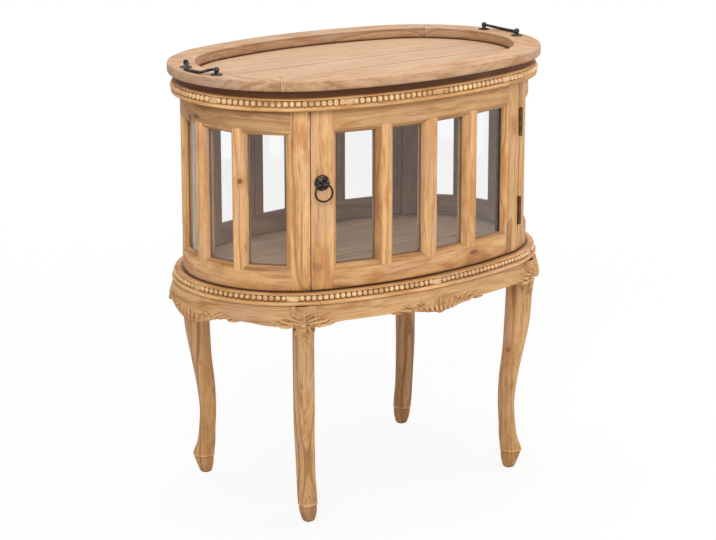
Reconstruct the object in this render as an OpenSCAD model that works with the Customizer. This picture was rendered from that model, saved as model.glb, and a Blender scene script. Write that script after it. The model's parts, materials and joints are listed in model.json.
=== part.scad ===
// Oval glazed bar cabinet on four cabriole legs, with a lift-off tray as its top.
// Millimetres. X runs along the width, the door faces -Y, Z is up, and Z = 0 is the floor.
// The plan is a four-centre oval: two small end arcs and two large side arcs that meet smoothly.
// Every radius below is the radius of the end arcs; side arcs add the same offset to all of them.

/* [Plan] */
// Distance of each end arc's centre from the cabinet's middle
end_centre = 154; // [140:3.5:168]
// End arc radius of the glazed wall's outer face
wall_r = 198; // [190:1:206]
// Thickness of the door, the back and the end panels
wall_t = 22; // [20:0.5:26]
// Depth of the four posts, measured inwards
post_t = 30; // [27:1:36]
// How far the base board stands out from the wall
base_overhang = 20; // [12:1:24]
// How far the top moulding stands out from the wall
cornice_overhang = 15; // [10:1:20]
// How far the tray stands out from the wall
tray_overhang = 22; // [18:1:28]

/* [Heights] */
// Floor to the underside of the base board
stand_h = 411; // [340:1:480]
// Thickness of the base board
base_t = 20; // [16:1:26]
// Height of the glazed wall
wall_h = 324.5; // [260:0.5:400]
// Height of the top moulding
cornice_h = 36.5; // [32:0.5:44]
// Thickness of the tray's rim
rim_t = 18; // [14:0.5:24]
// Height of the aprons between the legs
apron_h = 30; // [24:1:40]
// How far the middle of each apron hangs below its straight stretch
apron_drop = 11; // [4:1:16]
// Thickness of the aprons
apron_t = 20; // [16:1:24]
// Thickness of the inner floor
floor_t = 6; // [4:0.5:10]
// Thickness of the closed top board under the tray
top_board_t = 24; // [16:1:26]

/* [Windows] */
// Height of the rail under the windows
low_rail_h = 36; // [24:1:60]
// Height of the rail over the windows
high_rail_h = 36; // [24:1:60]
// Width of the upright bars between windows
muntin_w = 19; // [14:1:24]
// Face width of the two inner windows of the door and the back
mid_window_w = 80; // [60:1:86]
// Width of the stiles of the door and the back
stile_w = 40.5; // [36:0.5:48]
// How much wider the end windows beside the posts are than the two in the end's middle
end_window_extra = 13.5; // [0:0.5:24]
// Depth from the wall's face to the glass
glass_set = 12; // [9:0.5:14]
// Thickness of the glass
glass_t = 3; // [2:0.5:4]
// Width of the sloping glazing bead, and of the lip behind the glass
bead_w = 10; // [6:0.5:12]
// Width of the bead's flat outer edge
bead_quirk = 0.8; // [0.4:0.1:2]
// Gap between a pane's edge and its pocket
pane_clear = 0.4; // [0.2:0.1:1]

/* [Door] */
// Half length of the door, measured round its face
door_half = 244; // [242:0.5:246]
// Gap round the door
door_gap = 1.5; // [1:0.1:3]
// Half width of a post, measured round its face
post_w = 34.5; // [28:0.5:40]
// Diameter of the hinge knuckles
knuckle_d = 6.5; // [5:0.1:8]
// Diameter of the hinge pins
hinge_pin_d = 3; // [2:0.1:3.5]
// Height of a hinge
hinge_h = 51; // [36:1:70]
// Depth of a hinge leaf into the edge of the door
hinge_leaf_w = 17; // [12:0.5:19]
// Thickness of a hinge leaf
hinge_leaf_t = 1.2; // [0.8:0.1:2]
// Height of each hinge's middle above or below the window's edge
hinge_inset = 42; // [30:1:80]
// Running gap of hinges and pivots on the radius
pivot_clear = 0.1; // [0.05:0.01:0.2]
// Height of the ring pull above the wall's foot
pull_z = 195; // [120:1:240]
// Middle of the ring pull from the door's free edge
pull_inset = 20; // [16:0.5:24]
// Outer diameter of the pull's rosette
rosette_d = 28; // [22:1:32]
// Diameter of the pull's ring, to the middle of its wire
ring_d = 31; // [26:1:38]
// Diameter of the ring's wire
ring_wire = 3.6; // [2.5:0.1:4.5]

/* [Tray] */
// Width of the tray's rim
rim_w = 52; // [44:1:60]
// Thickness of the tray's floor
tray_floor_t = 8; // [6:0.5:9]
// Distance between the two posts of a tray handle
handle_span = 96; // [80:1:120]
// Middle of the handle posts from the tray's outer edge
handle_inset = 29.5; // [24:0.5:32]
// Diameter of the plates under the handle posts
plate_d = 22; // [16:1:26]
// Height of the handle's pivot above the rim
pivot_h = 9; // [7:0.5:12]
// Diameter of the handle's wire
bail_wire = 5.4; // [4:0.1:6.5]
// How far the handle's grip stands from its pivot
bail_reach = 21; // [17:0.5:26]
// Radius of the handle's bends
bail_bend = 8; // [7:0.5:8.5]

/* [Legs] */
// Middle of each foot from the cabinet's middle, along X
foot_x = 240; // [220:1:250]
// Middle of each foot from the cabinet's middle, along Y
foot_y = 164; // [150:1:172]
// Width of the block at the top of each leg
leg_block_w = 44; // [44:1:50]
// Depth of the block at the top of each leg
leg_block_t = 45.5; // [40:0.5:48]
// Height of the block at the top of each leg
leg_block_h = 34; // [30:1:50]

/* [Hidden] */

big_fn = 180;
small_fn = 36;
reach = 40;
lap = 2;

// The centres of an end arc and a side arc make a 7, 24, 25 triangle with the cabinet's middle
side_centre = end_centre * 24 / 7;
side_off = end_centre * 25 / 7;
side_angle = atan2(7, 24);
side_len = side_angle * PI / 180 * (wall_r + side_off);
quarter = side_len + (90 - side_angle) * PI / 180 * wall_r;

wall_in = wall_r - wall_t;
post_in = wall_r - post_t;
base_r = wall_r + base_overhang;
cornice_r = wall_r + cornice_overhang;
tray_r = wall_r + tray_overhang;

wall_z0 = stand_h + base_t;
wall_z1 = wall_z0 + wall_h;
cornice_z1 = wall_z1 + cornice_h;
rim_z1 = cornice_z1 + rim_t;
window_z0 = wall_z0 + low_rail_h;
window_z1 = wall_z1 - high_rail_h;
door_z0 = wall_z0 + door_gap;
door_z1 = wall_z1 - door_gap;
floor_z1 = wall_z0 + floor_t;
top_board_z1 = wall_z1 + top_board_t;

post_s0 = door_half + door_gap;
post_s1 = post_s0 + post_w;
seat_depth = glass_set + glass_t;

// A window is its middle and its half width, both measured round the wall's face
mid_window_s = (muntin_w + mid_window_w) / 2;
side_window_w = door_half - stile_w - mid_window_w - muntin_w * 1.5;
side_window_s = muntin_w * 1.5 + mid_window_w + side_window_w / 2;
stile_s0 = door_half - stile_w;
front_windows = [[-side_window_s, side_window_w / 2], [-mid_window_s, mid_window_w / 2],
                 [mid_window_s, mid_window_w / 2], [side_window_s, side_window_w / 2]];
end_free = quarter - post_s1 - muntin_w * 1.5;
end_window_w = (end_free + end_window_extra) / 2;
inner_end_w = end_free - end_window_w;
end_window_s = post_s1 + end_window_w / 2;
inner_window_s = quarter - (muntin_w + inner_end_w) / 2;
end_windows = [[end_window_s, end_window_w / 2], [inner_window_s, inner_end_w / 2],
               [2 * quarter - inner_window_s, inner_end_w / 2],
               [2 * quarter - end_window_s, end_window_w / 2]];

function side_deg(s) = s / (wall_r + side_off) * 180 / PI;
function end_deg(s) = side_angle - 90 + (s - side_len) / wall_r * 180 / PI;
function face_r(s) = abs(s) < side_len ? wall_r + side_off : wall_r;

// Frame at a place round the wall: the origin is the arc's centre and +X points out of the wall
module at_face(s) {
    if (abs(s) < side_len)
        translate([0, side_centre, 0]) rotate([0, 0, side_deg(s) - 90]) children();
    else if (s > 0)
        translate([end_centre, 0, 0]) rotate([0, 0, end_deg(s)]) children();
    else
        mirror([1, 0, 0]) translate([end_centre, 0, 0]) rotate([0, 0, end_deg(-s)]) children();
}

// Box on one side of the plane where the right front side arc meets the end arc
module junction_cut(side) {
    translate([end_centre, 0, 0]) rotate([0, 0, side_angle - 90])
        translate([0, side > 0 ? 0 : -2 * lap, -reach])
            cube([2 * wall_r, 2 * lap, rim_z1 + 2 * reach]);
}

// Stretch of the right end arc that carries a profile drawn as [radius, height]
module end_stretch(s0, s1) {
    far = 2 * quarter - side_len;
    low = s0 <= side_len ? side_len - lap : s0;
    high = s1 >= far ? far + lap : s1;
    if (s1 > side_len && high > low) difference() {
        translate([end_centre, 0, 0]) rotate([0, 0, end_deg(low)])
            rotate_extrude(angle = end_deg(high) - end_deg(low), $fn = big_fn) children();
        if (s0 <= side_len) junction_cut(-1);
        if (s1 >= far) mirror([0, 1, 0]) junction_cut(-1);
    }
}

// Stretch of the front side arc
module side_stretch(s0, s1) {
    low = s0 <= -side_len ? -side_len - lap : s0;
    high = s1 >= side_len ? side_len + lap : s1;
    if (s0 < side_len && s1 > -side_len) difference() {
        translate([0, side_centre, 0]) rotate([0, 0, side_deg(low) - 90])
            rotate_extrude(angle = side_deg(high - low), $fn = 2 * big_fn)
                translate([side_off, 0]) children();
        if (s1 >= side_len) junction_cut(1);
        if (s0 <= -side_len) mirror([1, 0, 0]) junction_cut(1);
    }
}

// Stretch of the wall line from s0 to s1; s is measured round the wall's face from mid front
module strip(s0, s1) {
    side_stretch(s0, s1) children();
    end_stretch(s0, s1) children();
    mirror([1, 0, 0]) end_stretch(-s1, -s0) children();
}

module oval_ring() {
    for (turn = [0, 180]) rotate([0, 0, turn]) {
        side_stretch(-side_len, side_len) children();
        end_stretch(side_len, 2 * quarter - side_len) children();
    }
}

// Closed oval board with end radius r
module oval_board(r, z0, z1) {
    half_x = end_centre + r * sin(side_angle);
    translate([0, 0, z0]) {
        intersection() {
            translate([0, side_centre, 0]) cylinder(h = z1 - z0, r = r + side_off, $fn = 2 * big_fn);
            translate([0, -side_centre, 0]) cylinder(h = z1 - z0, r = r + side_off, $fn = 2 * big_fn);
            translate([-half_x, -r - side_off, 0]) cube([2 * half_x, 2 * (r + side_off), z1 - z0]);
        }
        for (side = [-1, 1])
            translate([side * end_centre, 0, 0]) cylinder(h = z1 - z0, r = r, $fn = big_fn);
    }
}

module wall_piece(s0, s1, z0, z1, r0, r1) {
    strip(s0, s1) translate([r0, z0]) square([r1 - r0, z1 - z0]);
}

// Pocket that holds a pane and its bead, open at the wall's face
module pocket(window, depth = seat_depth, over = 0) {
    at_face(window[0])
        translate([face_r(window[0]) - depth, -window[1], window_z0 - over])
            cube([depth + reach, 2 * window[1], window_z1 - window_z0 + 2 * over]);
}

// Clear sight between two uprights, behind a pane
module sight(window) {
    at_face(window[0])
        translate([face_r(window[0]) - wall_t - reach, bead_w - window[1], window_z0])
            cube([wall_t + reach, 2 * (window[1] - bead_w), window_z1 - window_z0]);
}

// Room for a pane beside an upright that stands between the rails
module upright_cuts(windows) {
    for (window = windows) {
        pocket(window, over = lap);
        sight(window);
    }
}

module pane(window) {
    at_face(window[0])
        translate([face_r(window[0]) - seat_depth, pane_clear - window[1], window_z0 + pane_clear])
            cube([glass_t, 2 * (window[1] - pane_clear), window_z1 - window_z0 - 2 * pane_clear]);
}

// Opening of a glazing bead: four slopes that meet in mitres
module bead_slopes(window) {
    seat = face_r(window[0]) - glass_set;
    jamb_depth = sqrt(pow(face_r(window[0]), 2) - pow(window[1], 2)) - seat;
    side_slope = (bead_w - bead_quirk) / jamb_depth;
    rail_slope = (bead_w - bead_quirk) / glass_set;
    half = window[1] - bead_w;
    out = seat + reach;
    intersection() {
        translate([0, 0, window_z0 - reach])
            linear_extrude(window_z1 - window_z0 + 2 * reach)
                polygon([[seat, -half], [out, -half - side_slope * reach],
                         [out, half + side_slope * reach], [seat, half]]);
        translate([0, 2 * window[1], 0]) rotate([90, 0, 0])
            linear_extrude(4 * window[1])
                polygon([[seat, window_z0 + bead_w], [out, window_z0 + bead_w - rail_slope * reach],
                         [out, window_z1 - bead_w + rail_slope * reach],
                         [seat, window_z1 - bead_w]]);
    }
}

module glazing_bead(window) {
    difference() {
        intersection() {
            wall_piece(window[0] - 1.2 * window[1], window[0] + 1.2 * window[1],
                       window_z0, window_z1, wall_in, wall_r);
            at_face(window[0])
                translate([face_r(window[0]) - glass_set, -window[1], window_z0])
                    cube([glass_set + reach, 2 * window[1], window_z1 - window_z0]);
        }
        at_face(window[0]) bead_slopes(window);
    }
}

notch_depth = seat_depth + 2;
notch_h = 1;

// Face of an upright bar between two windows; it reaches a little way into both rails
module upright_face(left, right, r1) {
    difference() {
        wall_piece(left[0] + left[1] - lap, right[0] - right[1] + lap, window_z0 - notch_h,
                   window_z1 + notch_h, wall_r - notch_depth, r1);
        pocket(left, notch_depth + lap, lap);
        pocket(right, notch_depth + lap, lap);
    }
}

// Upright bar between two windows; its back stands between the lips of the rails
module upright(left, right) {
    upright_face(left, right, wall_r);
    difference() {
        wall_piece(left[0] + left[1] - bead_w - lap, right[0] - right[1] + bead_w + lap,
                   window_z0 + bead_w, window_z1 - bead_w, wall_in, wall_r - glass_set);
        upright_cuts([left, right]);
    }
}

// Notches in a rail for the faces of the uprights
module upright_notches(windows) {
    for (i = [0 : len(windows) - 2]) upright_face(windows[i], windows[i + 1], wall_r + reach);
}

module muntins(windows) {
    color("burlywood")
        for (i = [0 : len(windows) - 2]) upright(windows[i], windows[i + 1]);
}

// Rebated strips that carry the outer edge of the end panes beside the posts
module jamb_strips(windows) {
    color("burlywood")
        for (ends = [[post_s1, windows[0][0]], [windows[3][0], 2 * quarter - post_s1]])
            difference() {
                wall_piece(ends[0], ends[1], window_z0 + bead_w, window_z1 - bead_w, wall_in, wall_r);
                upright_cuts(windows);
            }
}

module bottom_rail(s0, s1, z0, windows) {
    color("tan") difference() {
        wall_piece(s0, s1, z0, window_z0 + bead_w, wall_in, wall_r);
        for (window = windows) pocket(window);
        upright_notches(windows);
    }
}

module top_rail(s0, s1, z1, windows) {
    color("tan") difference() {
        wall_piece(s0, s1, window_z1 - bead_w, z1, wall_in, wall_r);
        for (window = windows) pocket(window);
        upright_notches(windows);
    }
}

// Stile at the positive end of a front panel, with the lip that backs the last pane
module stile(s1, z0, z1) {
    last = front_windows[3];
    difference() {
        union() {
            wall_piece(stile_s0, s1, z0, z1, wall_in, wall_r);
            wall_piece(last[0], stile_s0 + lap, window_z0 + bead_w, window_z1 - bead_w,
                       wall_in, wall_r - glass_set);
        }
        pocket(last);
        sight(last);
    }
}

module beads(windows) {
    color("peru") for (window = windows) glazing_bead(window);
}

module panes(windows) {
    color("lightsteelblue", 0.4) for (window = windows) pane(window);
}

// Legs

// The leg's outline: foot, ankle, slim shin and full knee.
// Each row is height, shift along X and along Y, half size along the diagonal and half size across it.
leg_rows = [[0, -1, 2, 11, 11], [16, 0, 2.5, 16, 15.5], [36, 2, 3.5, 20, 17.5],
            [60, -0.5, -2, 17.5, 18], [85, -1, -5, 16, 17.5], [130, -1.5, -8, 16, 18],
            [180, 1.5, -6, 18, 19], [230, 6, 0, 20, 19.5], [290, 10.5, 5.5, 24, 19.5],
            [350, 12.5, 8, 25, 19.5], [372, 13.5, 9, 26, 19.5], [396, 18.5, 12, 28, 20],
            [411, 17, 11, 24, 20]];
leg_steps = 2;
leg_turn = 45;
leg_points = 16;
leg_power = 1.45;
leg_axis = [foot_x + 15, foot_y + 10];
leg_angle = atan2(leg_axis[1], leg_axis[0] - end_centre);
leg_block_out = 221;

function rounded(value) = sign(value) * pow(abs(value), 2 / leg_power);
function leg_point(row, i) =
    let (a = 360 * i / leg_points, along = row[3] * rounded(cos(a)), across = row[4] * rounded(sin(a)))
    [foot_x + row[1] + along * cos(leg_turn) - across * sin(leg_turn),
     foot_y + row[2] + along * sin(leg_turn) + across * cos(leg_turn),
     row[0] * stand_h / leg_rows[len(leg_rows) - 1][0]];

// Slope at row k of the smooth curve through all rows, for each millimetre of height
function leg_slope(k) =
    let (a = leg_rows[max(k - 1, 0)], b = leg_rows[min(k + 1, len(leg_rows) - 1)])
    (b - a) / (b[0] - a[0]);

// Row on that curve, at the share t of the way from row k to the next
function leg_between(k, t) =
    let (a = leg_rows[k], b = leg_rows[k + 1], rise = b[0] - a[0])
    (2 * pow(t, 3) - 3 * t * t + 1) * a + (3 * t * t - 2 * pow(t, 3)) * b
    + rise * ((pow(t, 3) - 2 * t * t + t) * leg_slope(k) + (pow(t, 3) - t * t) * leg_slope(k + 1));

module cabriole() {
    last = len(leg_rows) - 1;
    rings = [for (k = [0 : last - 1], step = [0 : leg_steps - 1]) leg_between(k, step / leg_steps),
             leg_rows[last]];
    rows = len(rings);
    points = [for (row = rings) for (i = [0 : leg_points - 1]) leg_point(row, i)];
    sides = [for (k = [0 : rows - 2]) for (i = [0 : leg_points - 1])
                let (a = k * leg_points + i, b = k * leg_points + (i + 1) % leg_points)
                each [[a, a + leg_points, b], [b, a + leg_points, b + leg_points]]];
    foot = [[for (i = [0 : leg_points - 1]) i]];
    head = [[for (i = [0 : leg_points - 1]) rows * leg_points - 1 - i]];
    polyhedron(points, concat(foot, sides, head), convexity = 4);
}

module leg_block(extra = 0, out = 0) {
    translate([end_centre, 0, 0]) rotate([0, 0, leg_angle])
        translate([leg_block_out - leg_block_t, -leg_block_w / 2 - extra, stand_h - leg_block_h - out])
            cube([leg_block_t + out, leg_block_w + 2 * extra, leg_block_h + 2 * out]);
}

module leg() {
    color("burlywood") union() {
        cabriole();
        leg_block();
    }
}

module at_quadrant(x, y) {
    mirror([x < 0 ? 1 : 0, 0, 0]) mirror([0, y < 0 ? 1 : 0, 0]) children();
}

module leg_front_left() at_quadrant(-1, -1) leg();
module leg_front_right() at_quadrant(1, -1) leg();
module leg_back_left() at_quadrant(-1, 1) leg();
module leg_back_right() at_quadrant(1, 1) leg();

// Aprons

apron_bottom = stand_h - apron_h;
apron_r = base_r - 1.5;
end_drop = apron_drop + 9;
knee_drop = 6;
drop_half = 88;
knee_half = 62;

// The face swells outwards on its way down and turns in again below the knees
module apron_profile() {
    polygon([[apron_r - apron_t, apron_bottom - end_drop - 1], [apron_r + 4, apron_bottom - end_drop - 1],
             [apron_r + 7, stand_h - 49], [apron_r + 8.5, stand_h - 42], [apron_r + 8.5, stand_h - 35],
             [apron_r + 7, stand_h - 28], [apron_r + 5, stand_h - 21], [apron_r + 3, stand_h - 14],
             [apron_r + 0.5, stand_h - 6], [apron_r - 1.5, stand_h], [apron_r - apron_t, stand_h]]);
}

// Drop of the lower edge: a smooth swell in the middle and a smaller one beside each leg
function swell(d, half) = abs(d) >= half ? 0 : (1 + cos(180 * d / half)) / 2;
function apron_edge(d, leg_d, drop) =
    apron_bottom - drop * swell(d, drop_half) - knee_drop * swell(abs(d) - leg_d, knee_half);

// Everything under the shaped edge, seen square to the apron, for legs at leg_d from its middle
module apron_waste(leg_d, drop) {
    half = leg_d + reach;
    steps = 36;
    edge = [for (i = [0 : steps]) let (d = half * (2 * i / steps - 1)) [d, apron_edge(d, leg_d, drop)]];
    rotate([90, 0, 0]) translate([0, 0, -reach])
        linear_extrude(base_r + 2 * reach + side_off)
            polygon(concat([[-half, 0]], edge, [[half, 0]]));
}

module apron_on_side() {
    leg_s = side_len + (90 - side_angle - leg_angle) * PI / 180 * wall_r;
    color("tan") difference() {
        strip(-leg_s, leg_s) apron_profile();
        apron_waste(leg_axis[0], apron_drop);
        for (x = [-1, 1]) at_quadrant(x, -1) leg_block(0.01, reach);
    }
}

module apron_on_end() {
    leg_s = side_len + (90 - side_angle - leg_angle) * PI / 180 * wall_r;
    color("tan") difference() {
        strip(leg_s, 2 * quarter - leg_s) apron_profile();
        rotate([0, 0, 90]) apron_waste(leg_axis[1], end_drop);
        for (y = [-1, 1]) at_quadrant(1, y) leg_block(0.01, reach);
    }
}

module apron_front() apron_on_side();
module apron_back() rotate([0, 0, 180]) apron_on_side();
module apron_right() apron_on_end();
module apron_left() rotate([0, 0, 180]) apron_on_end();

block_t = 26;
block_h = 36;

module corner_blocks() {
    color("sienna")
        for (x = [-1, 1], y = [-1, 1]) at_quadrant(x, y)
            translate([end_centre, 0, 0]) rotate([0, 0, leg_angle])
                translate([leg_block_out - leg_block_t - block_t, -leg_block_w / 2, stand_h - block_h])
                    cube([block_t, leg_block_w, block_h]);
}

// Base and floor

base_bead_d = 9.4;
base_core_r = wall_r - 8;

module base_edge() {
    bead_x = base_r - 6.4;
    bead_z = stand_h + base_t * 0.5;
    polygon([[base_core_r, stand_h], [base_r, stand_h], [base_r, stand_h + 4],
             [base_r - 1.5, stand_h + 5.8], [bead_x, stand_h + 5.8], [bead_x - 3, bead_z + 4.5],
             [wall_r + 3, wall_z0 - 1.5], [wall_r + 2, wall_z0], [base_core_r, wall_z0]]);
    translate([bead_x, bead_z]) circle(d = base_bead_d, $fn = small_fn);
}

module base_board() {
    color("burlywood") union() {
        oval_board(base_core_r + 0.5, stand_h, wall_z0);
        oval_ring() base_edge();
    }
}

module all_posts(r0, r1, z0, z1, extra = 0) {
    for (x = [-1, 1], y = [-1, 1]) at_quadrant(x, y)
        mirror([0, 1, 0]) wall_piece(post_s0 - extra, post_s1 + extra, z0, z1, r0, r1);
}

module floor_board() {
    color("rosybrown") difference() {
        oval_board(wall_in - 0.3, wall_z0, floor_z1);
        all_posts(post_in - 0.3, wall_r, wall_z0 - 1, floor_z1 + 1, 0.5);
    }
}

// Posts

module post() {
    difference() {
        wall_piece(post_s0, post_s1, wall_z0, wall_z1, post_in, wall_r);
        pocket(end_windows[0]);
    }
}

module post_front_left() color("goldenrod") at_quadrant(-1, 1) post();
module post_front_right() {
    color("goldenrod") difference() {
        post();
        hinge_mortises(1);
        hinge_screw_holes(1);
    }
}
module post_back_left() color("goldenrod") at_quadrant(-1, -1) post();
module post_back_right() color("goldenrod") at_quadrant(1, -1) post();

// End panels, drawn at the right end

module end_bottom_rail() bottom_rail(post_s1, 2 * quarter - post_s1, wall_z0, end_windows);
module end_top_rail() top_rail(post_s1, 2 * quarter - post_s1, wall_z1, end_windows);
module end_muntins() {
    muntins(end_windows);
    jamb_strips(end_windows);
}

module end_right_bottom_rail() end_bottom_rail();
module end_right_top_rail() end_top_rail();
module end_right_muntins() end_muntins();
module end_right_beads() beads(end_windows);
module end_right_glass() panes(end_windows);
module end_left_bottom_rail() rotate([0, 0, 180]) end_bottom_rail();
module end_left_top_rail() rotate([0, 0, 180]) end_top_rail();
module end_left_muntins() rotate([0, 0, 180]) end_muntins();
module end_left_beads() rotate([0, 0, 180]) beads(end_windows);
module end_left_glass() rotate([0, 0, 180]) panes(end_windows);

// Fixed back panel, drawn at the front and turned round

module back_bottom_rail() {
    rotate([0, 0, 180]) bottom_rail(-stile_s0, stile_s0, wall_z0, front_windows);
}
module back_top_rail() {
    rotate([0, 0, 180]) top_rail(-stile_s0, stile_s0, wall_z1, front_windows);
}
module back_stiles() {
    color("tan") rotate([0, 0, 180])
        for (x = [0, 1]) mirror([x, 0, 0]) stile(post_s0, wall_z0, wall_z1);
}
module back_muntins() rotate([0, 0, 180]) muntins(front_windows);
module back_beads() rotate([0, 0, 180]) beads(front_windows);
module back_glass() rotate([0, 0, 180]) panes(front_windows);

// Top moulding and the closed board inside it

cornice_bead_d = 10.4;
cornice_in = wall_r - 8;

module cornice_profile() {
    bead_x = cornice_r - 0.8;
    bead_z = wall_z1 + 13.3;
    polygon([[cornice_in, wall_z1], [cornice_r - 1, wall_z1], [cornice_r + 0.3, wall_z1 + 1.5],
             [cornice_r + 0.3, wall_z1 + 6.5], [bead_x, bead_z], [cornice_r - 0.5, wall_z1 + 20],
             [cornice_r - 6, cornice_z1 - 1], [cornice_r - 7, cornice_z1], [cornice_in, cornice_z1]]);
    translate([bead_x, bead_z]) circle(d = cornice_bead_d, $fn = small_fn);
}

module cornice() color("burlywood") oval_ring() cornice_profile();
module top_board() color("tan") oval_board(cornice_in, wall_z1, top_board_z1);

// Door

module door_bottom_rail() bottom_rail(-stile_s0, stile_s0, door_z0, front_windows);
module door_top_rail() top_rail(-stile_s0, stile_s0, door_z1, front_windows);
module door_muntins() muntins(front_windows);
module door_beads() beads(front_windows);
module door_glass() panes(front_windows);

module door_hinge_stile() {
    color("tan") difference() {
        stile(door_half, door_z0, door_z1);
        hinge_mortises(-1);
        hinge_screw_holes(-1);
    }
}

module door_lock_stile() {
    color("tan") difference() {
        mirror([1, 0, 0]) stile(door_half, door_z0, door_z1);
        at_pull() translate([-wall_t - reach, 0, 0]) rotate([0, 90, 0])
            cylinder(d = pull_stud_d + 2 * pivot_clear, h = wall_t + 2 * reach, $fn = small_fn);
        at_pull() translate([-rosette_lift, 0, 0]) rotate([0, 90, 0])
            cylinder(d = rosette_d + 0.2, h = reach, $fn = 2 * small_fn);
        at_catch() translate([-catch_plate_t, 0, 0]) catch_plate_shape(pane_clear);
    }
}

// Door stop and catch

stop_t = 8;
stop_w = 9.5;
stop_gap = 0.4;

module door_stop() {
    color("tan")
        wall_piece(-post_s0, stop_w - post_s0, wall_z0 + floor_t, wall_z1,
                   wall_in - stop_gap - stop_t, wall_in - stop_gap);
}

catch_inset = 28;
catch_s = catch_inset - door_half;
catch_w = 22;
catch_t = 12;
catch_h = 14;
catch_gap = 0.9;
catch_plate_t = 1.5;
catch_plate_h = 12;

// The catch plate is let flat into the door's hollow inner face
catch_face = face_r(catch_s) - wall_t + 1.2;

// Frame at the catch: the origin is on the plate's outer face and +X points out of the wall
module at_catch() {
    at_face(catch_s) translate([catch_face, 0, 0]) children();
}

module catch_plate_shape(extra) {
    translate([0, -catch_w / 2 - extra, wall_z1 - catch_h - extra])
        cube([catch_plate_t + (extra > 0 ? 0.001 : 0), catch_w + 2 * extra, catch_plate_h + 2 * extra]);
}

module catch_magnet() {
    color("dimgray") at_catch()
        translate([-catch_plate_t - catch_gap - catch_t, -catch_w / 2, wall_z1 - catch_h])
            cube([catch_t, catch_w, catch_h]);
}

module catch_plate() {
    color("silver") at_catch() translate([-catch_plate_t, 0, 0]) catch_plate_shape(0);
}

// Hinges

hinge_s = door_half + door_gap / 2;
hinge_proud = knuckle_d / 2 + 0.25;
knuckle_gap = 0.3;
knuckle_h = (hinge_h - 2 * knuckle_gap) / 3;
hinge_zs = [window_z0 + hinge_inset, window_z1 - hinge_inset];
leaf_face = door_gap / 2;
screw_d = 3;
screw_head_d = 5.4;
screw_l = 14;
screw_x = -9.5;
screw_z = 15;

// Frame on the hinge line: +X out of the wall, +Y towards the post, Z = 0 at the hinge's middle
module at_hinge(z) {
    at_face(hinge_s) translate([wall_r + hinge_proud, 0, z]) children();
}

// Leaf on one side of the gap: side is 1 for the post and -1 for the door
module hinge_plate(side, extra = 0) {
    y0 = side > 0 ? leaf_face : -leaf_face - hinge_leaf_t;
    translate([-hinge_proud - hinge_leaf_w, y0, -hinge_h / 2 - extra])
        cube([hinge_leaf_w + hinge_proud - knuckle_d / 2 - 0.05, hinge_leaf_t, hinge_h + 2 * extra]);
}

module knuckle(z0) {
    translate([0, 0, z0]) difference() {
        cylinder(d = knuckle_d, h = knuckle_h, $fn = small_fn);
        translate([0, 0, -1])
            cylinder(d = hinge_pin_d + 2 * pivot_clear, h = knuckle_h + 2, $fn = small_fn);
    }
}

// Strap that joins a leaf to one of its knuckles
module knuckle_strap(side, z0) {
    y0 = side > 0 ? leaf_face : -leaf_face - hinge_leaf_t;
    difference() {
        translate([-knuckle_d / 2 - 0.2, y0, z0]) cube([knuckle_d / 2 + 0.2, hinge_leaf_t, knuckle_h]);
        translate([0, 0, z0 - 1])
            cylinder(d = hinge_pin_d + 2 * pivot_clear, h = knuckle_h + 2, $fn = small_fn);
    }
}

function knuckle_z(i) = -hinge_h / 2 + i * (knuckle_h + knuckle_gap);

module leaf_screw(side) {
    y0 = side * leaf_face;
    for (z = [-screw_z, screw_z]) translate([screw_x - hinge_proud, y0, z])
        rotate([-90 * side, 0, 0]) {
            cylinder(d = screw_d, h = screw_l, $fn = small_fn);
            cylinder(d1 = screw_head_d, d2 = screw_d, h = (screw_head_d - screw_d) / 2, $fn = small_fn);
        }
}

module hinge_leaf(side) {
    straps = side > 0 ? [0, 2] : [1];
    difference() {
        hinge_plate(side);
        leaf_screw(side);
    }
    for (i = straps) {
        knuckle(knuckle_z(i));
        knuckle_strap(side, knuckle_z(i));
    }
}

module hinge_mortises(side) {
    for (z = hinge_zs) at_hinge(z) hinge_plate(side, 0);
}

module hinge_screw_holes(side) {
    for (z = hinge_zs) at_hinge(z) leaf_screw(side);
}

module hinge_leaves_post() color("darkgoldenrod") for (z = hinge_zs) at_hinge(z) hinge_leaf(1);
module hinge_leaves_door() color("darkgoldenrod") for (z = hinge_zs) at_hinge(z) hinge_leaf(-1);
module hinge_screws_post() color("silver") hinge_screw_holes(1);
module hinge_screws_door() color("silver") hinge_screw_holes(-1);

module hinge_pins() {
    color("darkgoldenrod") for (z = hinge_zs) at_hinge(z)
        translate([0, 0, -hinge_h / 2 - 1]) {
            cylinder(d = hinge_pin_d, h = hinge_h + 2, $fn = small_fn);
            cylinder(d = knuckle_d - 1, h = 0.9, $fn = small_fn);
            translate([0, 0, hinge_h + 1.1]) cylinder(d = knuckle_d - 1, h = 0.9, $fn = small_fn);
        }
}

// Ring pull

pull_s = -(door_half - pull_inset);
pull_stud_d = 4;
rosette_t = 2.6;
dome_h = 3.6;
eye_d = 10;
eye_w = 4.4;
eye_reach = 11.5;
nut_d = 9;
nut_t = 3.5;
nut_seat = 0.1;
eye_clear = 0.35;
rosette_lift = 0.6;

// Frame at the pull: the origin is on the door's face and +X points out of the wall
module at_pull() {
    at_face(pull_s) translate([face_r(pull_s), 0, wall_z0 + pull_z]) children();
}

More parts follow.
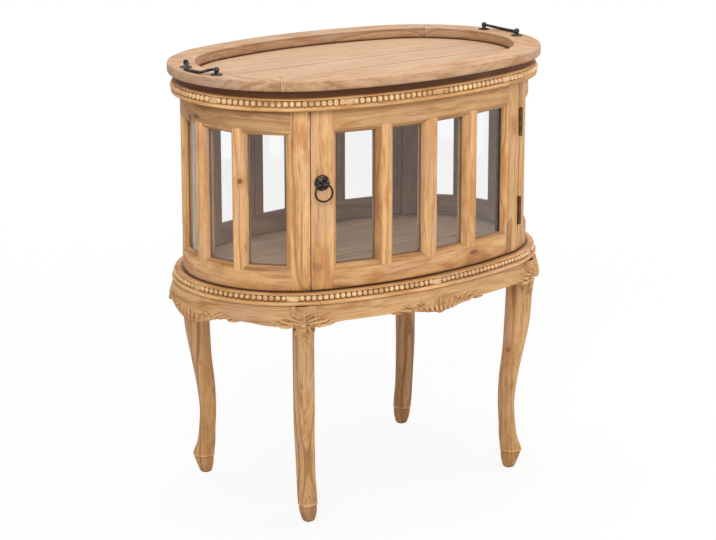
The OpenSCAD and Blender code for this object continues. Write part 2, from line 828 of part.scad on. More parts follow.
module pull_rosette() {
    color("darkslategray") at_pull() difference() {
        union() {
            rotate([0, 90, 0]) translate([0, 0, -rosette_lift]) rotate_extrude($fn = 2 * small_fn)
                polygon([[0, 0], [rosette_d / 2, 0], [rosette_d / 2, rosette_t - 1],
                         [rosette_d / 2 - 1, rosette_t], [rosette_d / 2 - 4, rosette_t + 0.4],
                         [rosette_d / 4, rosette_t + dome_h * 0.6], [eye_d / 2, rosette_t + dome_h],
                         [0, rosette_t + dome_h]]);
            translate([0, eye_w / 2, 0]) rotate([90, 0, 0]) linear_extrude(eye_w) union() {
                translate([eye_reach, 0]) circle(d = eye_d - 1, $fn = small_fn);
                translate([0, -eye_d / 2 + 0.5]) square([eye_reach, eye_d - 1]);
            }
            translate([-wall_t - nut_t - 1, 0, 0]) rotate([0, 90, 0])
                cylinder(d = pull_stud_d, h = wall_t + nut_t + 2, $fn = small_fn);
        }
        translate([eye_reach, eye_w, 0]) rotate([90, 0, 0])
            cylinder(d = ring_wire + 2 * eye_clear, h = 2 * eye_w, $fn = small_fn);
    }
}

module pull_nut() {
    color("darkslategray") at_pull() translate([-wall_t - nut_t - nut_seat, 0, 0]) rotate([0, 90, 0])
        difference() {
            cylinder(d = nut_d, h = nut_t, $fn = 6);
            translate([0, 0, -1]) cylinder(d = pull_stud_d, h = nut_t + 2, $fn = small_fn);
        }
}

module pull_ring() {
    color("black") at_pull() translate([eye_reach, 0, -ring_d / 2]) rotate([0, 90, 0])
        rotate_extrude($fn = 2 * small_fn) translate([ring_d / 2, 0])
            circle(d = ring_wire, $fn = small_fn);
}

// Tray

rim_in = tray_r - rim_w;
rim_step = 1.5;
tray_floor_z1 = cornice_z1 - rim_step;
tray_floor_clear = 6;
tray_floor_r = cornice_in - tray_floor_clear;

module rim_profile() {
    polygon([[rim_in + 2, tray_floor_z1], [tray_floor_r + 0.5, tray_floor_z1],
             [tray_floor_r + 0.5, cornice_z1], [tray_r - 2, cornice_z1], [tray_r, cornice_z1 + 2],
             [tray_r, rim_z1 - 3], [tray_r - 1, rim_z1 - 0.9], [tray_r - 3, rim_z1],
             [rim_in + 2, rim_z1], [rim_in + 0.5, rim_z1 - 0.7], [rim_in, rim_z1 - 2.4]]);
}

rim_split = 294;

module rim_long() strip(-rim_split, rim_split) rim_profile();
module rim_short() strip(rim_split, 2 * quarter - rim_split) rim_profile();

module tray_rim_front() color("burlywood") rim_long();
module tray_rim_back() color("burlywood") rotate([0, 0, 180]) rim_long();
module tray_rim_right() color("tan") difference() {
    rim_short();
    handle_holes();
}
module tray_rim_left() color("tan") difference() {
    rotate([0, 0, 180]) rim_short();
    rotate([0, 0, 180]) handle_holes();
}
module tray_floor() {
    color("wheat") oval_board(tray_floor_r, tray_floor_z1 - tray_floor_t, tray_floor_z1);
}

// Tray handles: two posts on round plates, and a bail that turns between them

handle_x = end_centre + tray_r - handle_inset;
plate_t = 2.2;
handle_post_d = 10;
handle_stud_d = 4;
handle_nut_d = 8;
handle_nut_t = 3;
pin_len = 5;
pin_d = 3.6;
end_gap = 0.4;
bail_lift = 0.3;

module handle_holes() {
    for (y = [-1, 1]) translate([handle_x, y * handle_span / 2, tray_floor_z1 - 1]) {
        cylinder(d = handle_stud_d + 0.4, h = 2 * rim_t, $fn = small_fn);
        cylinder(d = handle_nut_d + 2, h = handle_nut_t + 3.5, $fn = small_fn);
    }
}

handle_seat = tray_floor_z1 + handle_nut_t + 2.5;

module handle_post_pair() {
    for (y = [-1, 1]) translate([handle_x, y * handle_span / 2, rim_z1]) difference() {
        union() {
            cylinder(d = plate_d, h = plate_t, $fn = 2 * small_fn);
            cylinder(d = handle_post_d, h = pivot_h, $fn = small_fn);
            translate([0, 0, pivot_h]) sphere(d = handle_post_d, $fn = small_fn);
            translate([0, 0, handle_seat - handle_nut_t - rim_z1])
                cylinder(d = handle_stud_d, h = rim_z1 - handle_seat + handle_nut_t + 1, $fn = small_fn);
        }
        translate([0, -y * handle_post_d, pivot_h]) rotate([-90 * y, 0, 0])
            cylinder(d = pin_d + 2 * pivot_clear, h = handle_post_d + pin_len - handle_post_d / 2 + 0.6,
                     $fn = small_fn);
    }
}

module handle_posts() {
    color("dimgray") {
        handle_post_pair();
        rotate([0, 0, 180]) handle_post_pair();
    }
}

module handle_nuts() {
    color("dimgray") for (turn = [0, 180]) rotate([0, 0, turn])
        for (y = [-1, 1]) translate([handle_x, y * handle_span / 2, handle_seat - handle_nut_t])
            difference() {
                cylinder(d = handle_nut_d, h = handle_nut_t, $fn = 6);
                translate([0, 0, -1]) cylinder(d = handle_stud_d, h = handle_nut_t + 2, $fn = small_fn);
            }
}

// The bail lies outwards with its grip just clear of the rim
bail_tilt = asin((pivot_h - bail_wire / 2 - bail_lift) / bail_reach);
bail_end = handle_span / 2 - handle_post_d / 2 - end_gap;

module wire_arc(angle) {
    rotate_extrude(angle = angle, $fn = 2 * small_fn) translate([bail_bend, 0])
        circle(d = bail_wire, $fn = small_fn);
}

// Half of the bail, flat: +Y along the pivot line, +X outwards to the grip
module bail_half() {
    turn_y = bail_end - bail_bend;
    straight = bail_reach - 2 * bail_bend;
    grip_y = turn_y - bail_bend;
    translate([0, bail_end, 0]) rotate([-90, 0, 0])
        cylinder(d = pin_d, h = pin_len + end_gap, $fn = small_fn);
    translate([bail_bend, bail_end, 0]) rotate([0, 0, 180]) wire_arc(90);
    translate([bail_bend, turn_y, 0]) rotate([0, 90, 0])
        cylinder(d = bail_wire, h = straight, $fn = small_fn);
    translate([bail_bend + straight, grip_y, 0]) wire_arc(90);
    translate([bail_reach, 0, 0]) rotate([-90, 0, 0])
        cylinder(d = bail_wire, h = grip_y, $fn = small_fn);
}

module bail() {
    color("black") translate([handle_x, 0, rim_z1 + pivot_h]) rotate([0, bail_tilt, 0]) {
        bail_half();
        mirror([0, 1, 0]) bail_half();
    }
}

module handle_right() bail();
module handle_left() rotate([0, 0, 180]) bail();

leg_front_left();
leg_front_right();
leg_back_left();
leg_back_right();
apron_front();
apron_back();
apron_left();
apron_right();
corner_blocks();
base_board();
floor_board();
post_front_left();
post_front_right();
post_back_left();
post_back_right();
end_left_bottom_rail();
end_left_top_rail();
end_left_muntins();
end_left_beads();
end_left_glass();
end_right_bottom_rail();
end_right_top_rail();
end_right_muntins();
end_right_beads();
end_right_glass();
back_bottom_rail();
back_top_rail();
back_stiles();
back_muntins();
back_beads();
back_glass();
cornice();
top_board();
door_stop();
catch_magnet();
hinge_leaves_post();
hinge_pins();
hinge_screws_post();
door_bottom_rail();
door_top_rail();
door_lock_stile();
door_hinge_stile();
door_muntins();
door_beads();
door_glass();
hinge_leaves_door();
hinge_screws_door();
catch_plate();
pull_rosette();
pull_nut();
pull_ring();
tray_rim_front();
tray_rim_back();
tray_rim_left();
tray_rim_right();
tray_floor();
handle_posts();
handle_nuts();
handle_left();
handle_right();
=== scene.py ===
# Oval glazed bar cabinet in sanded teak. Metres in every mesh; the door faces -Y and the floor is Z = 0.
import bpy
import bmesh
import json
import math
import numpy as np
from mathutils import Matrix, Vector
from mathutils.bvhtree import BVHTree


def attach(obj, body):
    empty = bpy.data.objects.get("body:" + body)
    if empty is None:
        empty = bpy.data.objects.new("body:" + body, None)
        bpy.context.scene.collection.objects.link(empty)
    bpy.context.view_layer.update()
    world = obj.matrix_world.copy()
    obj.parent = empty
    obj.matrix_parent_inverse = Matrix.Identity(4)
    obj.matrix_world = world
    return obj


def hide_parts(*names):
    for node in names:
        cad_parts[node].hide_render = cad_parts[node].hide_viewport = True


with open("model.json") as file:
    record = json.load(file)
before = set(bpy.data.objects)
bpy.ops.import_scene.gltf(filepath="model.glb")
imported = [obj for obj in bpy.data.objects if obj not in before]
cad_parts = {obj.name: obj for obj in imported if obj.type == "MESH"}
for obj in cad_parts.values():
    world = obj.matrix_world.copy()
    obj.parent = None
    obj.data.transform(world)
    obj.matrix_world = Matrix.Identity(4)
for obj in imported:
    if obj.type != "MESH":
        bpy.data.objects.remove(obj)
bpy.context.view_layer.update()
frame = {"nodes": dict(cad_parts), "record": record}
scene = bpy.context.scene
cadNodes = frame["nodes"]
bodyOf = {node: body for body, names in frame["record"]["behaviour"]["bodies"].items() for node in names}
slotOf = {part["node"]: part["material_slot"] for part in frame["record"]["subparts"]}
print("frame loaded:", len(cadNodes), "nodes")

# Plan of the cabinet in millimetres: end arcs and side arcs that meet smoothly
plan = {"endCentre": 154.0, "sideCentre": 528.0, "sideOffset": 550.0, "wall": 198.0, "stand": 411.0}
sideAngle = math.atan2(7, 24)
sideRadius = plan["wall"] + plan["sideOffset"]
sideLength = sideAngle * sideRadius
quarter = sideLength + (math.pi / 2 - sideAngle) * plan["wall"]
allRound = np.linspace(-2 * quarter, 2 * quarter, 361)[:-1]


# Metres from s, r and z in millimetres: s runs round the wall's face from mid front towards the hinges,
# r is the radius of the end arcs and z the height
def ovalPoints(s, r, z):
    s, r, z = np.broadcast_arrays(np.asarray(s, float), r, z)
    turn = (s + 2 * quarter) % (4 * quarter) - 2 * quarter
    a = np.minimum(np.abs(turn), 2 * quarter - np.abs(turn))
    side = a <= sideLength
    t = np.where(side, a / sideRadius, sideAngle + (a - sideLength) / plan["wall"])
    out = r + np.where(side, plan["sideOffset"], 0)
    x = np.where(side, 0, plan["endCentre"]) + out * np.sin(t)
    y = np.where(side, plan["sideCentre"], 0) - out * np.cos(t)
    x = np.where(turn < 0, -x, x)
    y = np.where(np.abs(turn) > quarter, -y, y)
    return np.stack([x, y, z], -1) / 1000


# The same coordinates read back from points in metres, unbroken round the place s = middle
def ovalCoordinates(points, middle):
    x, y = np.abs(points[:, 0]) * 1000, np.abs(points[:, 1]) * 1000
    t = np.arctan2(x, y + plan["sideCentre"])
    side = t <= sideAngle
    a = np.where(side, t * sideRadius,
                 sideLength + (np.arctan2(x - plan["endCentre"], y) - sideAngle) * plan["wall"])
    r = np.where(side, np.hypot(x, y + plan["sideCentre"]) - plan["sideOffset"],
                 np.hypot(x - plan["endCentre"], y))
    s = np.where(points[:, 1] > 0, 2 * quarter - a, a) * np.where(points[:, 0] < 0, -1, 1)
    s = s + 4 * quarter * np.round((middle - s) / (4 * quarter))
    return np.stack([s, r, points[:, 2] * 1000], -1)


def meshPoints(mesh):
    co = np.empty(len(mesh.vertices) * 3, np.float32)
    mesh.vertices.foreach_get("co", co)
    return co.reshape(-1, 3).astype(float)


dice = np.random.default_rng(26)


def ramp(value, low, high):
    t = np.clip((value - low) / (high - low), 0, 1)
    return t * t * (3 - 2 * t)


def writeAttribute(mesh, name, values, domain="POINT"):
    flat = values.ndim == 1
    layer = mesh.attributes.new(name, "FLOAT" if flat else "FLOAT_VECTOR", domain)
    layer.data.foreach_set("value" if flat else "vector", values.astype(np.float32).ravel())


# Grain coordinates for a piece of wood: first along the grain, then across it on the face, then into the
# wood. The stain and shade, where a piece has one, is a rule of s, r and z for how much darker the wood is painted:
# old polish and dark joints, and painted shade in hollows, under ledges and in grooves.
def cutFromPlank(piece, run, tone=0.0, stain=None):
    mesh = piece.data
    points = meshPoints(mesh)
    middle = points.mean(0)
    around = math.atan2(middle[0], -middle[1]) / math.pi * 2 * quarter
    s, r, z = ovalCoordinates(points, around).T
    if run in ("round", "upright"):
        grain = np.stack([s, z, r] if run == "round" else [z, s, r], -1) / 1000
    else:
        order = {"wide": [0, 1, 2], "deep": [1, 0, 2], "post": [2, 0, 1]}[run]
        grain = points[:, order]
    grain = grain - (grain.max(0) + grain.min(0)) / 2
    writeAttribute(mesh, "grain", grain)
    writeAttribute(mesh, "chance", np.tile(dice.random(3), (len(points), 1)))
    writeAttribute(mesh, "tone", np.zeros(len(points)) + tone)
    writeAttribute(mesh, "stain", np.zeros(len(points)) if stain is None else stain(s, r, z))


# Smooth shading that keeps crisp corners
def shadeSoft(mesh, angle=38):
    mesh.polygons.foreach_set("use_smooth", [True] * len(mesh.polygons))
    mesh.set_sharp_from_angle(angle=math.radians(angle))


# Beads are mitred frames: their level strips have the grain running round, not up, and are darker, with old polish
# and painted shade
def turnGrainOfCrossStrips(mesh, polishLeft=0.22):
    turned, darker = np.empty(len(mesh.vertices) * 3, np.float32), np.empty(len(mesh.vertices), np.float32)
    mesh.attributes["grain"].data.foreach_get("vector", turned)
    mesh.attributes["stain"].data.foreach_get("value", darker)
    corners = np.empty(len(mesh.loops), np.int32)
    mesh.loops.foreach_get("vertex_index", corners)
    turned, darker = turned.reshape(-1, 3)[corners], darker[corners]
    for face in mesh.polygons:
        at = slice(face.loop_start, face.loop_start + face.loop_total)
        size = turned[at].max(0) - turned[at].min(0)
        if size[1] > size[0]:
            turned[at] = turned[at][:, [1, 0, 2]]
            darker[at] = np.maximum(darker[at], polishLeft)
    for name, values in (("grain", turned), ("stain", darker)):
        mesh.attributes.remove(mesh.attributes[name])
        writeAttribute(mesh, name, values, "CORNER")


# Shader and geometry nodes

def addNode(tree, kind, inputs=None, **settings):
    made = tree.nodes.new(kind)
    for key, value in settings.items():
        setattr(made, key, value)
    for key, value in (inputs or {}).items():
        if isinstance(value, bpy.types.NodeSocket):
            tree.links.new(value, made.inputs[key])
        else:
            made.inputs[key].default_value = value
    return made


def sumOf(tree, operation, *values):
    return addNode(tree, "ShaderNodeMath", dict(enumerate(values)), operation=operation).outputs[0]


def vectorOf(tree, operation, *values):
    return addNode(tree, "ShaderNodeVectorMath", dict(enumerate(values)), operation=operation)


def scaled(tree, vector, scale, shift=None):
    made = vectorOf(tree, "MULTIPLY", vector, scale).outputs[0]
    return made if shift is None else vectorOf(tree, "ADD", made, shift).outputs[0]


def noise(tree, vector, detail=2.0, roughness=0.5, output=0):
    made = addNode(tree, "ShaderNodeTexNoise",
                   {"Vector": vector, "Scale": 1.0, "Detail": detail, "Roughness": roughness})
    return made.outputs[output]


def spread(tree, value, low, high, to0=0.0, to1=1.0):
    made = addNode(tree, "ShaderNodeMapRange",
                   {"Value": value, "From Min": low, "From Max": high, "To Min": to0, "To Max": to1},
                   interpolation_type="SMOOTHSTEP")
    return made.outputs[0]


def blendOf(tree, factor, a, b):
    return addNode(tree, "ShaderNodeMix", {0: factor, 6: a, 7: b}, data_type="RGBA").outputs[2]


def newMaterial(name, **settings):
    material = bpy.data.materials.new(name)
    material.use_nodes = True
    tree = material.node_tree
    shader = tree.nodes["Principled BSDF"]
    for key, value in settings.items():
        shader.inputs[key].default_value = value
    return material, tree, shader


# Sanded teak: colours of the wood, how much dark polish and painted shade lie in its joints (seam), and how much
# painted shade lies in its corners; its darkest colour serves for old polish and painted shade alike
teakLook = {"light": (0.66, 0.385, 0.170, 1), "middle": (0.50, 0.262, 0.094, 1),
            "dark": (0.235, 0.098, 0.031, 1), "rose": (0.53, 0.305, 0.172, 1),
            "amber": (0.41, 0.178, 0.050, 1), "knot": (0.11, 0.042, 0.015, 1),
            "recess": (0.100, 0.038, 0.013, 1), "rubbed": (0.78, 0.52, 0.28, 1), "roughness": 0.62,
            "seam": 0.95, "corner": 0.85, "cornerFrom": 0.72, "streak": 0.72, "mottle": 0.80, "bump": 0.0010,
            "lines": (0.4322, 0.7550),
            "knotsAt": [(-0.329, -0.092, 0.627, 0.0090, 0.85), (-0.230, -0.183, 0.474, 0.016, 0.35),
                        (-0.350, 0.031, 0.722, 0.012, 0.7), (-0.345, -0.053, 0.474, 0.010, 0.6)]}
trayLook = {**teakLook, "lines": (), "knotsAt": [(-0.196, -0.205, 0.802, 0.007, 0.6)],
            "light": (0.575, 0.385, 0.245, 1), "middle": (0.49, 0.305, 0.180, 1),
            "rose": (0.49, 0.310, 0.205, 1), "dark": (0.29, 0.155, 0.070, 1), "amber": (0.44, 0.245, 0.115, 1),
            "seam": 0.25, "streak": 0.50, "mottle": 0.4}
rimLook = {**trayLook, "light": (0.57, 0.355, 0.205, 1), "middle": (0.45, 0.255, 0.130, 1),
           "amber": (0.38, 0.185, 0.075, 1), "seam": 0.6, "streak": 0.68, "mottle": 0.85}
carvedLook = {**teakLook, "seam": 0.25, "corner": 0.75, "cornerFrom": 0.55, "lines": (),
              "knotsAt": [(0.225, -0.170, 0.236, 0.011, 0.75), (0.226, -0.172, 0.21, 0.007, 0.5)]}
# Beads: paler rubbed wood, with painted shade in the corners between them
pearlLook = {**teakLook, "lines": (), "knotsAt": [], "light": (0.84, 0.600, 0.330, 1),
             "middle": (0.72, 0.465, 0.225, 1), "dark": (0.44, 0.235, 0.095, 1),
             "recess": (0.30, 0.145, 0.052, 1), "seam": 0.0, "corner": 0.8, "cornerFrom": 0.5}

# Patterns: cells in a metre along the grain, across it and into the wood, then detail and roughness
figure = {"streak": ((6.0, 150.0, 150.0), 3.0, 0.62), "fibre": ((22.0, 480.0, 480.0), 3.0, 0.65),
          "pores": ((80.0, 1700.0, 1700.0), 1.0, 0.5), "mottle": ((13.0, 42.0, 42.0), 3.0, 0.6),
          "patch": ((4.0, 13.0, 13.0), 2.0, 0.5), "blush": ((5.5, 18.0, 18.0), 2.0, 0.5),
          "sanding": ((45.0, 45.0, 45.0), 2.0, 0.5)}
# Patterns that don't bend with the grain, and how much each is shifted from board to board
unbent = {"mottle": (1.3, 0.9, 1.1), "patch": (1, 1, 1), "blush": (1.7, 1.3, 1.1), "sanding": (1, 1, 1)}
# Colours laid on: pattern, where it starts and is full, strength or its name in the look, and the colour
layers = [("patch", 0.40, 0.66, 0.6, "middle"), ("blush", 0.48, 0.70, 0.8, "rose"),
          ("mottle", 0.47, 0.70, "mottle", "amber"), ("rings", 0.43, 0.26, 0.6, "dark"),
          ("streak", 0.47, 0.27, "streak", "dark"), ("fibre", 0.47, 0.28, 0.55, "dark"),
          ("fibre", 0.55, 0.72, 0.30, "light"), ("pores", 0.60, 0.76, 0.35, "dark")]


def teakMaterial(name, look):
    material, tree, shader = newMaterial(name, Roughness=look["roughness"], **{"Specular IOR Level": 0.32})
    written = {label: addNode(tree, "ShaderNodeAttribute", attribute_name=label).outputs
               for label in ("grain", "chance", "tone", "stain")}
    grain, chance = written["grain"]["Vector"], written["chance"]["Vector"]

    def over(colour, share, tint):
        return blendOf(tree, share, colour, look[tint])

    place = scaled(tree, chance, (37.0, 53.0, 71.0))
    knots = addNode(tree, "ShaderNodeTexVoronoi", {"Vector": scaled(tree, grain, (5.0, 14.0, 14.0), place),
                                                   "Scale": 1.0, "Randomness": 1.0})
    knotPick = addNode(tree, "ShaderNodeSeparateColor", {0: knots.outputs["Color"]}).outputs[0]
    knotHere = spread(tree, knotPick, 0.78, 0.82)
    knotSwirl = sumOf(tree, "MULTIPLY", knotHere, spread(tree, knots.outputs["Distance"], 0.42, 0.05))
    wander = noise(tree, scaled(tree, grain, (3.6, 10.0, 10.0), place), 2.0, 0.5, 1)
    wander = vectorOf(tree, "SUBTRACT", wander, (0.5, 0.5, 0.5)).outputs[0]
    wander = scaled(tree, wander, (0.015, 0.026, 0.026))
    bent = vectorOf(tree, "ADD", grain, wander).outputs[0]
    # Distance from the heart of the log, which lies a little behind the face and leans along the piece
    split = addNode(tree, "ShaderNodeSeparateXYZ", {0: bent}).outputs
    luck = addNode(tree, "ShaderNodeSeparateXYZ", {0: chance}).outputs
    lean = sumOf(tree, "MULTIPLY", split[0], sumOf(tree, "SUBTRACT", luck[2], 0.5))
    across = sumOf(tree, "ADD", split[1], sumOf(tree, "MULTIPLY_ADD", luck[0], 0.09, -0.045))
    into = sumOf(tree, "ADD", split[2], sumOf(tree, "MULTIPLY_ADD", luck[1], 0.06, 0.02))
    into = sumOf(tree, "MULTIPLY_ADD", lean, 0.10, into)
    heart = sumOf(tree, "SQRT", sumOf(tree, "ADD", sumOf(tree, "MULTIPLY", across, across),
                                      sumOf(tree, "MULTIPLY", into, into)))
    ringPlace = sumOf(tree, "MULTIPLY_ADD", heart, 150.0, sumOf(tree, "MULTIPLY", luck[2], 40))
    ringPlace = sumOf(tree, "MULTIPLY_ADD", knotSwirl, 1.6, ringPlace)
    rings = addNode(tree, "ShaderNodeTexNoise", {"W": ringPlace, "Scale": 1.0, "Detail": 3.0,
                                                 "Roughness": 0.62}, noise_dimensions="1D").outputs[0]
    seen = {"rings": rings}
    for kind, (cells, detail, roughness) in figure.items():
        shift = scaled(tree, place, unbent[kind]) if kind in unbent else place
        vector = scaled(tree, grain if kind in unbent else bent, cells, shift)
        seen[kind] = noise(tree, vector, detail, roughness)
    colour = blendOf(tree, spread(tree, rings, 0.30, 0.62), look["middle"], look["light"])
    for kind, low, high, strength, tint in layers:
        colour = over(colour, spread(tree, seen[kind], low, high, 0, look.get(strength, strength)), tint)
    colour = over(colour, sumOf(tree, "MULTIPLY", knotSwirl, 0.45), "amber")
    knotSpot = sumOf(tree, "MULTIPLY", knotHere, spread(tree, knots.outputs["Distance"], 0.10, 0.03))
    colour = over(colour, sumOf(tree, "MULTIPLY", knotSpot, 0.85), "knot")
    # Knots at their own places in the cabinet, given in metres with a size and a depth of colour
    spot = addNode(tree, "ShaderNodeTexCoord").outputs["Object"]
    ragged = noise(tree, scaled(tree, spot, (150.0, 150.0, 150.0)), 2.0, 0.5, 1)
    ragged = scaled(tree, ragged, (0.008, 0.008, 0.008), (-0.004, -0.004, -0.004))
    ragged = vectorOf(tree, "ADD", spot, ragged).outputs[0]
    for x, y, z, size, depth in look["knotsAt"]:
        near = vectorOf(tree, "DISTANCE", ragged, (x, y, z)).outputs["Value"]
        colour = over(colour, spread(tree, near, 2.4 * size, 0.7 * size, 0, 0.75 * depth), "amber")
        colour = over(colour, spread(tree, near, 0.8 * size, 0.3 * size, 0, depth), "knot")
    # Painted shadow lines where the wall stands on the base and meets the cornice
    height = addNode(tree, "ShaderNodeSeparateXYZ", {0: spot}).outputs[2]
    for level in look["lines"]:
        off = sumOf(tree, "ABSOLUTE", sumOf(tree, "SUBTRACT", height, level))
        colour = over(colour, spread(tree, off, 0.0030, 0.0015), "recess")
    # Old polish and painted shade along the edges of the joints, darkest where the ambient occlusion finds them
    # hidden, broken up by the sanding
    patchy = spread(tree, seen["sanding"], 0.34, 0.58, 0.50, 1.0)
    shade = addNode(tree, "ShaderNodeAmbientOcclusion", {"Distance": 0.011}, samples=8).outputs["AO"]
    if look["seam"] > 0:
        eased = addNode(tree, "ShaderNodeBevel", {"Radius": 0.0022}, samples=4).outputs[0]
        facing = addNode(tree, "ShaderNodeNewGeometry").outputs["Normal"]
        edge = vectorOf(tree, "DOT_PRODUCT", eased, facing).outputs["Value"]
        edge = sumOf(tree, "MULTIPLY", spread(tree, edge, 0.992, 0.85), patchy)
        bare = spread(tree, shade, 0.90, 0.98)
        seamShadeAndPolish = sumOf(tree, "MULTIPLY_ADD", bare, -0.9 * look["seam"], look["seam"])
        colour = over(colour, sumOf(tree, "MULTIPLY", edge, seamShadeAndPolish), "recess")
        # Painted highlight on the exposed edges, together with the wear that rubbed them paler
        rubbed = sumOf(tree, "MULTIPLY", sumOf(tree, "MULTIPLY", edge, bare), 0.45)
        colour = over(colour, rubbed, "rubbed")
    # Painted shade in corners and recesses, from the ambient occlusion
    colour = over(colour, spread(tree, shade, look["cornerFrom"], 0.20, 0, look["corner"]), "recess")
    uneven = spread(tree, seen["mottle"], 0.30, 0.55, 0.75, 1.0)
    # Darker by each piece's rule of old polish, dark joints and painted shade
    colour = over(colour, sumOf(tree, "MULTIPLY", written["stain"]["Fac"], uneven), "recess")
    # Each piece's tone lightens or darkens it: random board tone, with painted highlights and painted shade on some
    # pieces
    value = sumOf(tree, "ADD", written["tone"]["Fac"], 1.0)
    toned = addNode(tree, "ShaderNodeHueSaturation", {"Color": colour, "Value": value})
    tree.links.new(toned.outputs[0], shader.inputs["Base Color"])
    relief = sumOf(tree, "ADD", *(sumOf(tree, "MULTIPLY", seen[kind], 0.6) for kind in ("fibre", "streak")))
    relief = sumOf(tree, "ADD", relief, spread(tree, seen["pores"], 0.76, 0.60, 0, 0.3))
    bump = addNode(tree, "ShaderNodeBump", {"Height": relief, "Strength": 0.4, "Distance": look["bump"]})
    tree.links.new(bump.outputs[0], shader.inputs["Normal"])
    return material


def glassMaterial():
    material, tree, shader = newMaterial("windowGlass", Roughness=0.012, IOR=1.45,
                                         **{"Base Color": (0.965, 0.97, 0.968, 1), "Transmission Weight": 1.0})
    lets = addNode(tree, "ShaderNodeBsdfTransparent", {"Color": (0.93, 0.94, 0.935, 1)})
    path = addNode(tree, "ShaderNodeLightPath")
    either = sumOf(tree, "MAXIMUM", path.outputs["Is Shadow Ray"], path.outputs["Is Diffuse Ray"])
    mix = addNode(tree, "ShaderNodeMixShader", {0: either, 1: shader.outputs[0], 2: lets.outputs[0]})
    tree.links.new(mix.outputs[0], tree.nodes["Material Output"].inputs["Surface"])
    return material


# Metal and plastic with mottling, fine pitting and paler rubbed patches
def fittingMaterial(name, colour, worn, metallic, roughness, pitDepth):
    material, tree, shader = newMaterial(name, Metallic=metallic)
    place = addNode(tree, "ShaderNodeTexCoord").outputs["Object"]
    mottle = noise(tree, scaled(tree, place, (140.0, 140.0, 140.0)), 4.0, 0.6)
    pits = noise(tree, scaled(tree, place, (900.0, 900.0, 900.0)), 2.0)
    tree.links.new(blendOf(tree, spread(tree, mottle, 0.45, 0.72), colour, worn), shader.inputs["Base Color"])
    sheen = spread(tree, mottle, 0.3, 0.7, roughness - 0.08, roughness + 0.12)
    tree.links.new(sheen, shader.inputs["Roughness"])
    bump = addNode(tree, "ShaderNodeBump", {"Height": pits, "Strength": 0.5, "Distance": pitDepth})
    tree.links.new(bump.outputs[0], shader.inputs["Normal"])
    return material


woods = {"teak": ("sandedTeak", teakLook), "trayTeak": ("paleTeak", trayLook),
         "rimTeak": ("rimTeak", rimLook), "carved": ("carvedTeak", carvedLook), "pearl": ("rubbedBeads", pearlLook)}
# Name, colour, colour where it is rubbed, metallic, roughness, and depth of the pits in metres
fittings = {"iron": ("blackIron", (0.022, 0.019, 0.018, 1), (0.13, 0.10, 0.085, 1), 0.85, 0.29, 0.0003),
            "brass": ("agedBrass", (0.10, 0.052, 0.022, 1), (0.22, 0.13, 0.055, 1), 0.8, 0.5, 0.0001),
            "steel": ("zincSteel", (0.42, 0.42, 0.43, 1), (0.6, 0.6, 0.6, 1), 1.0, 0.34, 0.0001),
            "catch": ("brownCatch", (0.05, 0.025, 0.014, 1), (0.09, 0.05, 0.03, 1), 0.0, 0.45, 0.0001)}
finishes = {finish: teakMaterial(*wood) for finish, wood in woods.items()}
finishes["glass"] = glassMaterial()
finishes.update({finish: fittingMaterial(*fitting) for finish, fitting in fittings.items()})
for node, piece in cadNodes.items():
    piece.data.materials.clear()
    piece.data.materials.append(finishes[slotOf[node]])
print("materials ready:", len(finishes))


# Places a finished mesh on its body, in the place of its CAD node
def fitPiece(piece, node):
    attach(piece, bodyOf[node])
    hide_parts(node)
    return piece


# Carved or applied work that stands on a node which has its own piece already
def addTo(piece, node):
    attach(piece, bodyOf[node])


def newPiece(name, mesh, finish):
    mesh.materials.clear()
    mesh.materials.append(finishes[finish])
    piece = bpy.data.objects.new(name, mesh)
    scene.collection.objects.link(piece)
    return piece


def meshFrom(name, vertices, faces):
    mesh = bpy.data.meshes.new(name)
    mesh.from_pydata([tuple(v) for v in vertices], [], faces)
    work = bmesh.new()
    work.from_mesh(mesh)
    bmesh.ops.remove_doubles(work, verts=work.verts, dist=1e-6)
    bmesh.ops.recalc_face_normals(work, faces=work.faces)
    work.to_mesh(mesh)
    work.free()
    mesh.polygons.foreach_set("use_smooth", [True] * len(mesh.polygons))
    return mesh


# Turns an object's modifiers into a plain mesh
def settled(piece):
    bpy.context.view_layer.update()
    seen = piece.evaluated_get(bpy.context.evaluated_depsgraph_get())
    mesh = bpy.data.meshes.new_from_object(seen)
    piece.modifiers.clear()
    piece.data = mesh
    return piece


def joinedPiece(name, lengths, angle=38):
    if len(lengths) > 1:
        with bpy.context.temp_override(active_object=lengths[0], selected_editable_objects=lengths):
            bpy.ops.object.join()
    lengths[0].name = name
    shadeSoft(lengths[0].data, angle)
    return lengths[0]


def camel(node):
    first, *rest = node.split("_")
    return first + "".join(word.capitalize() for word in rest)


# A skin over a list of closed rings, which ends in two caps or closes on itself
def tubeMesh(name, rings, closed=False):
    rings = np.asarray(rings)
    rows, count = rings.shape[:2]
    at = np.arange(rows * count).reshape(rows, count)
    a, b = (at, np.roll(at, -1, 0)) if closed else (at[:-1], at[1:])
    quads = np.stack([a, np.roll(a, -1, 1), np.roll(b, -1, 1), b], -1).reshape(-1, 4).tolist()
    caps = [] if closed else [at[0].tolist(), at[-1].tolist()]
    return meshFrom(name, rings.reshape(-1, 3), quads + caps)


# How light or dark each board is, by the first words that fit its name; the darker top rails under the cornice and
# the dark back right leg are painted shade
boardToneAndShade = {"end_left_top": -0.24, "end_right_top": -0.10, "door_top": -0.06, "back": -0.05,
             "post_front_left": 0.12, "post_front": 0.04, "post_back": -0.04, "end_left_muntins": 0.24,
             "end_left_beads": 0.16, "door_muntins": 0.16, "door_beads": 0.14, "door_lock": 0.08,
             "door_bottom": 0.05, "apron": -0.10, "leg_back_right": -0.26, "leg_back": 0.0, "leg": -0.08,
             "tray_rim_front": 0.04, "tray_rim_back": -0.04, "floor_board": 0.42, "base_board": 0.14,
             "cornice": 0.16}


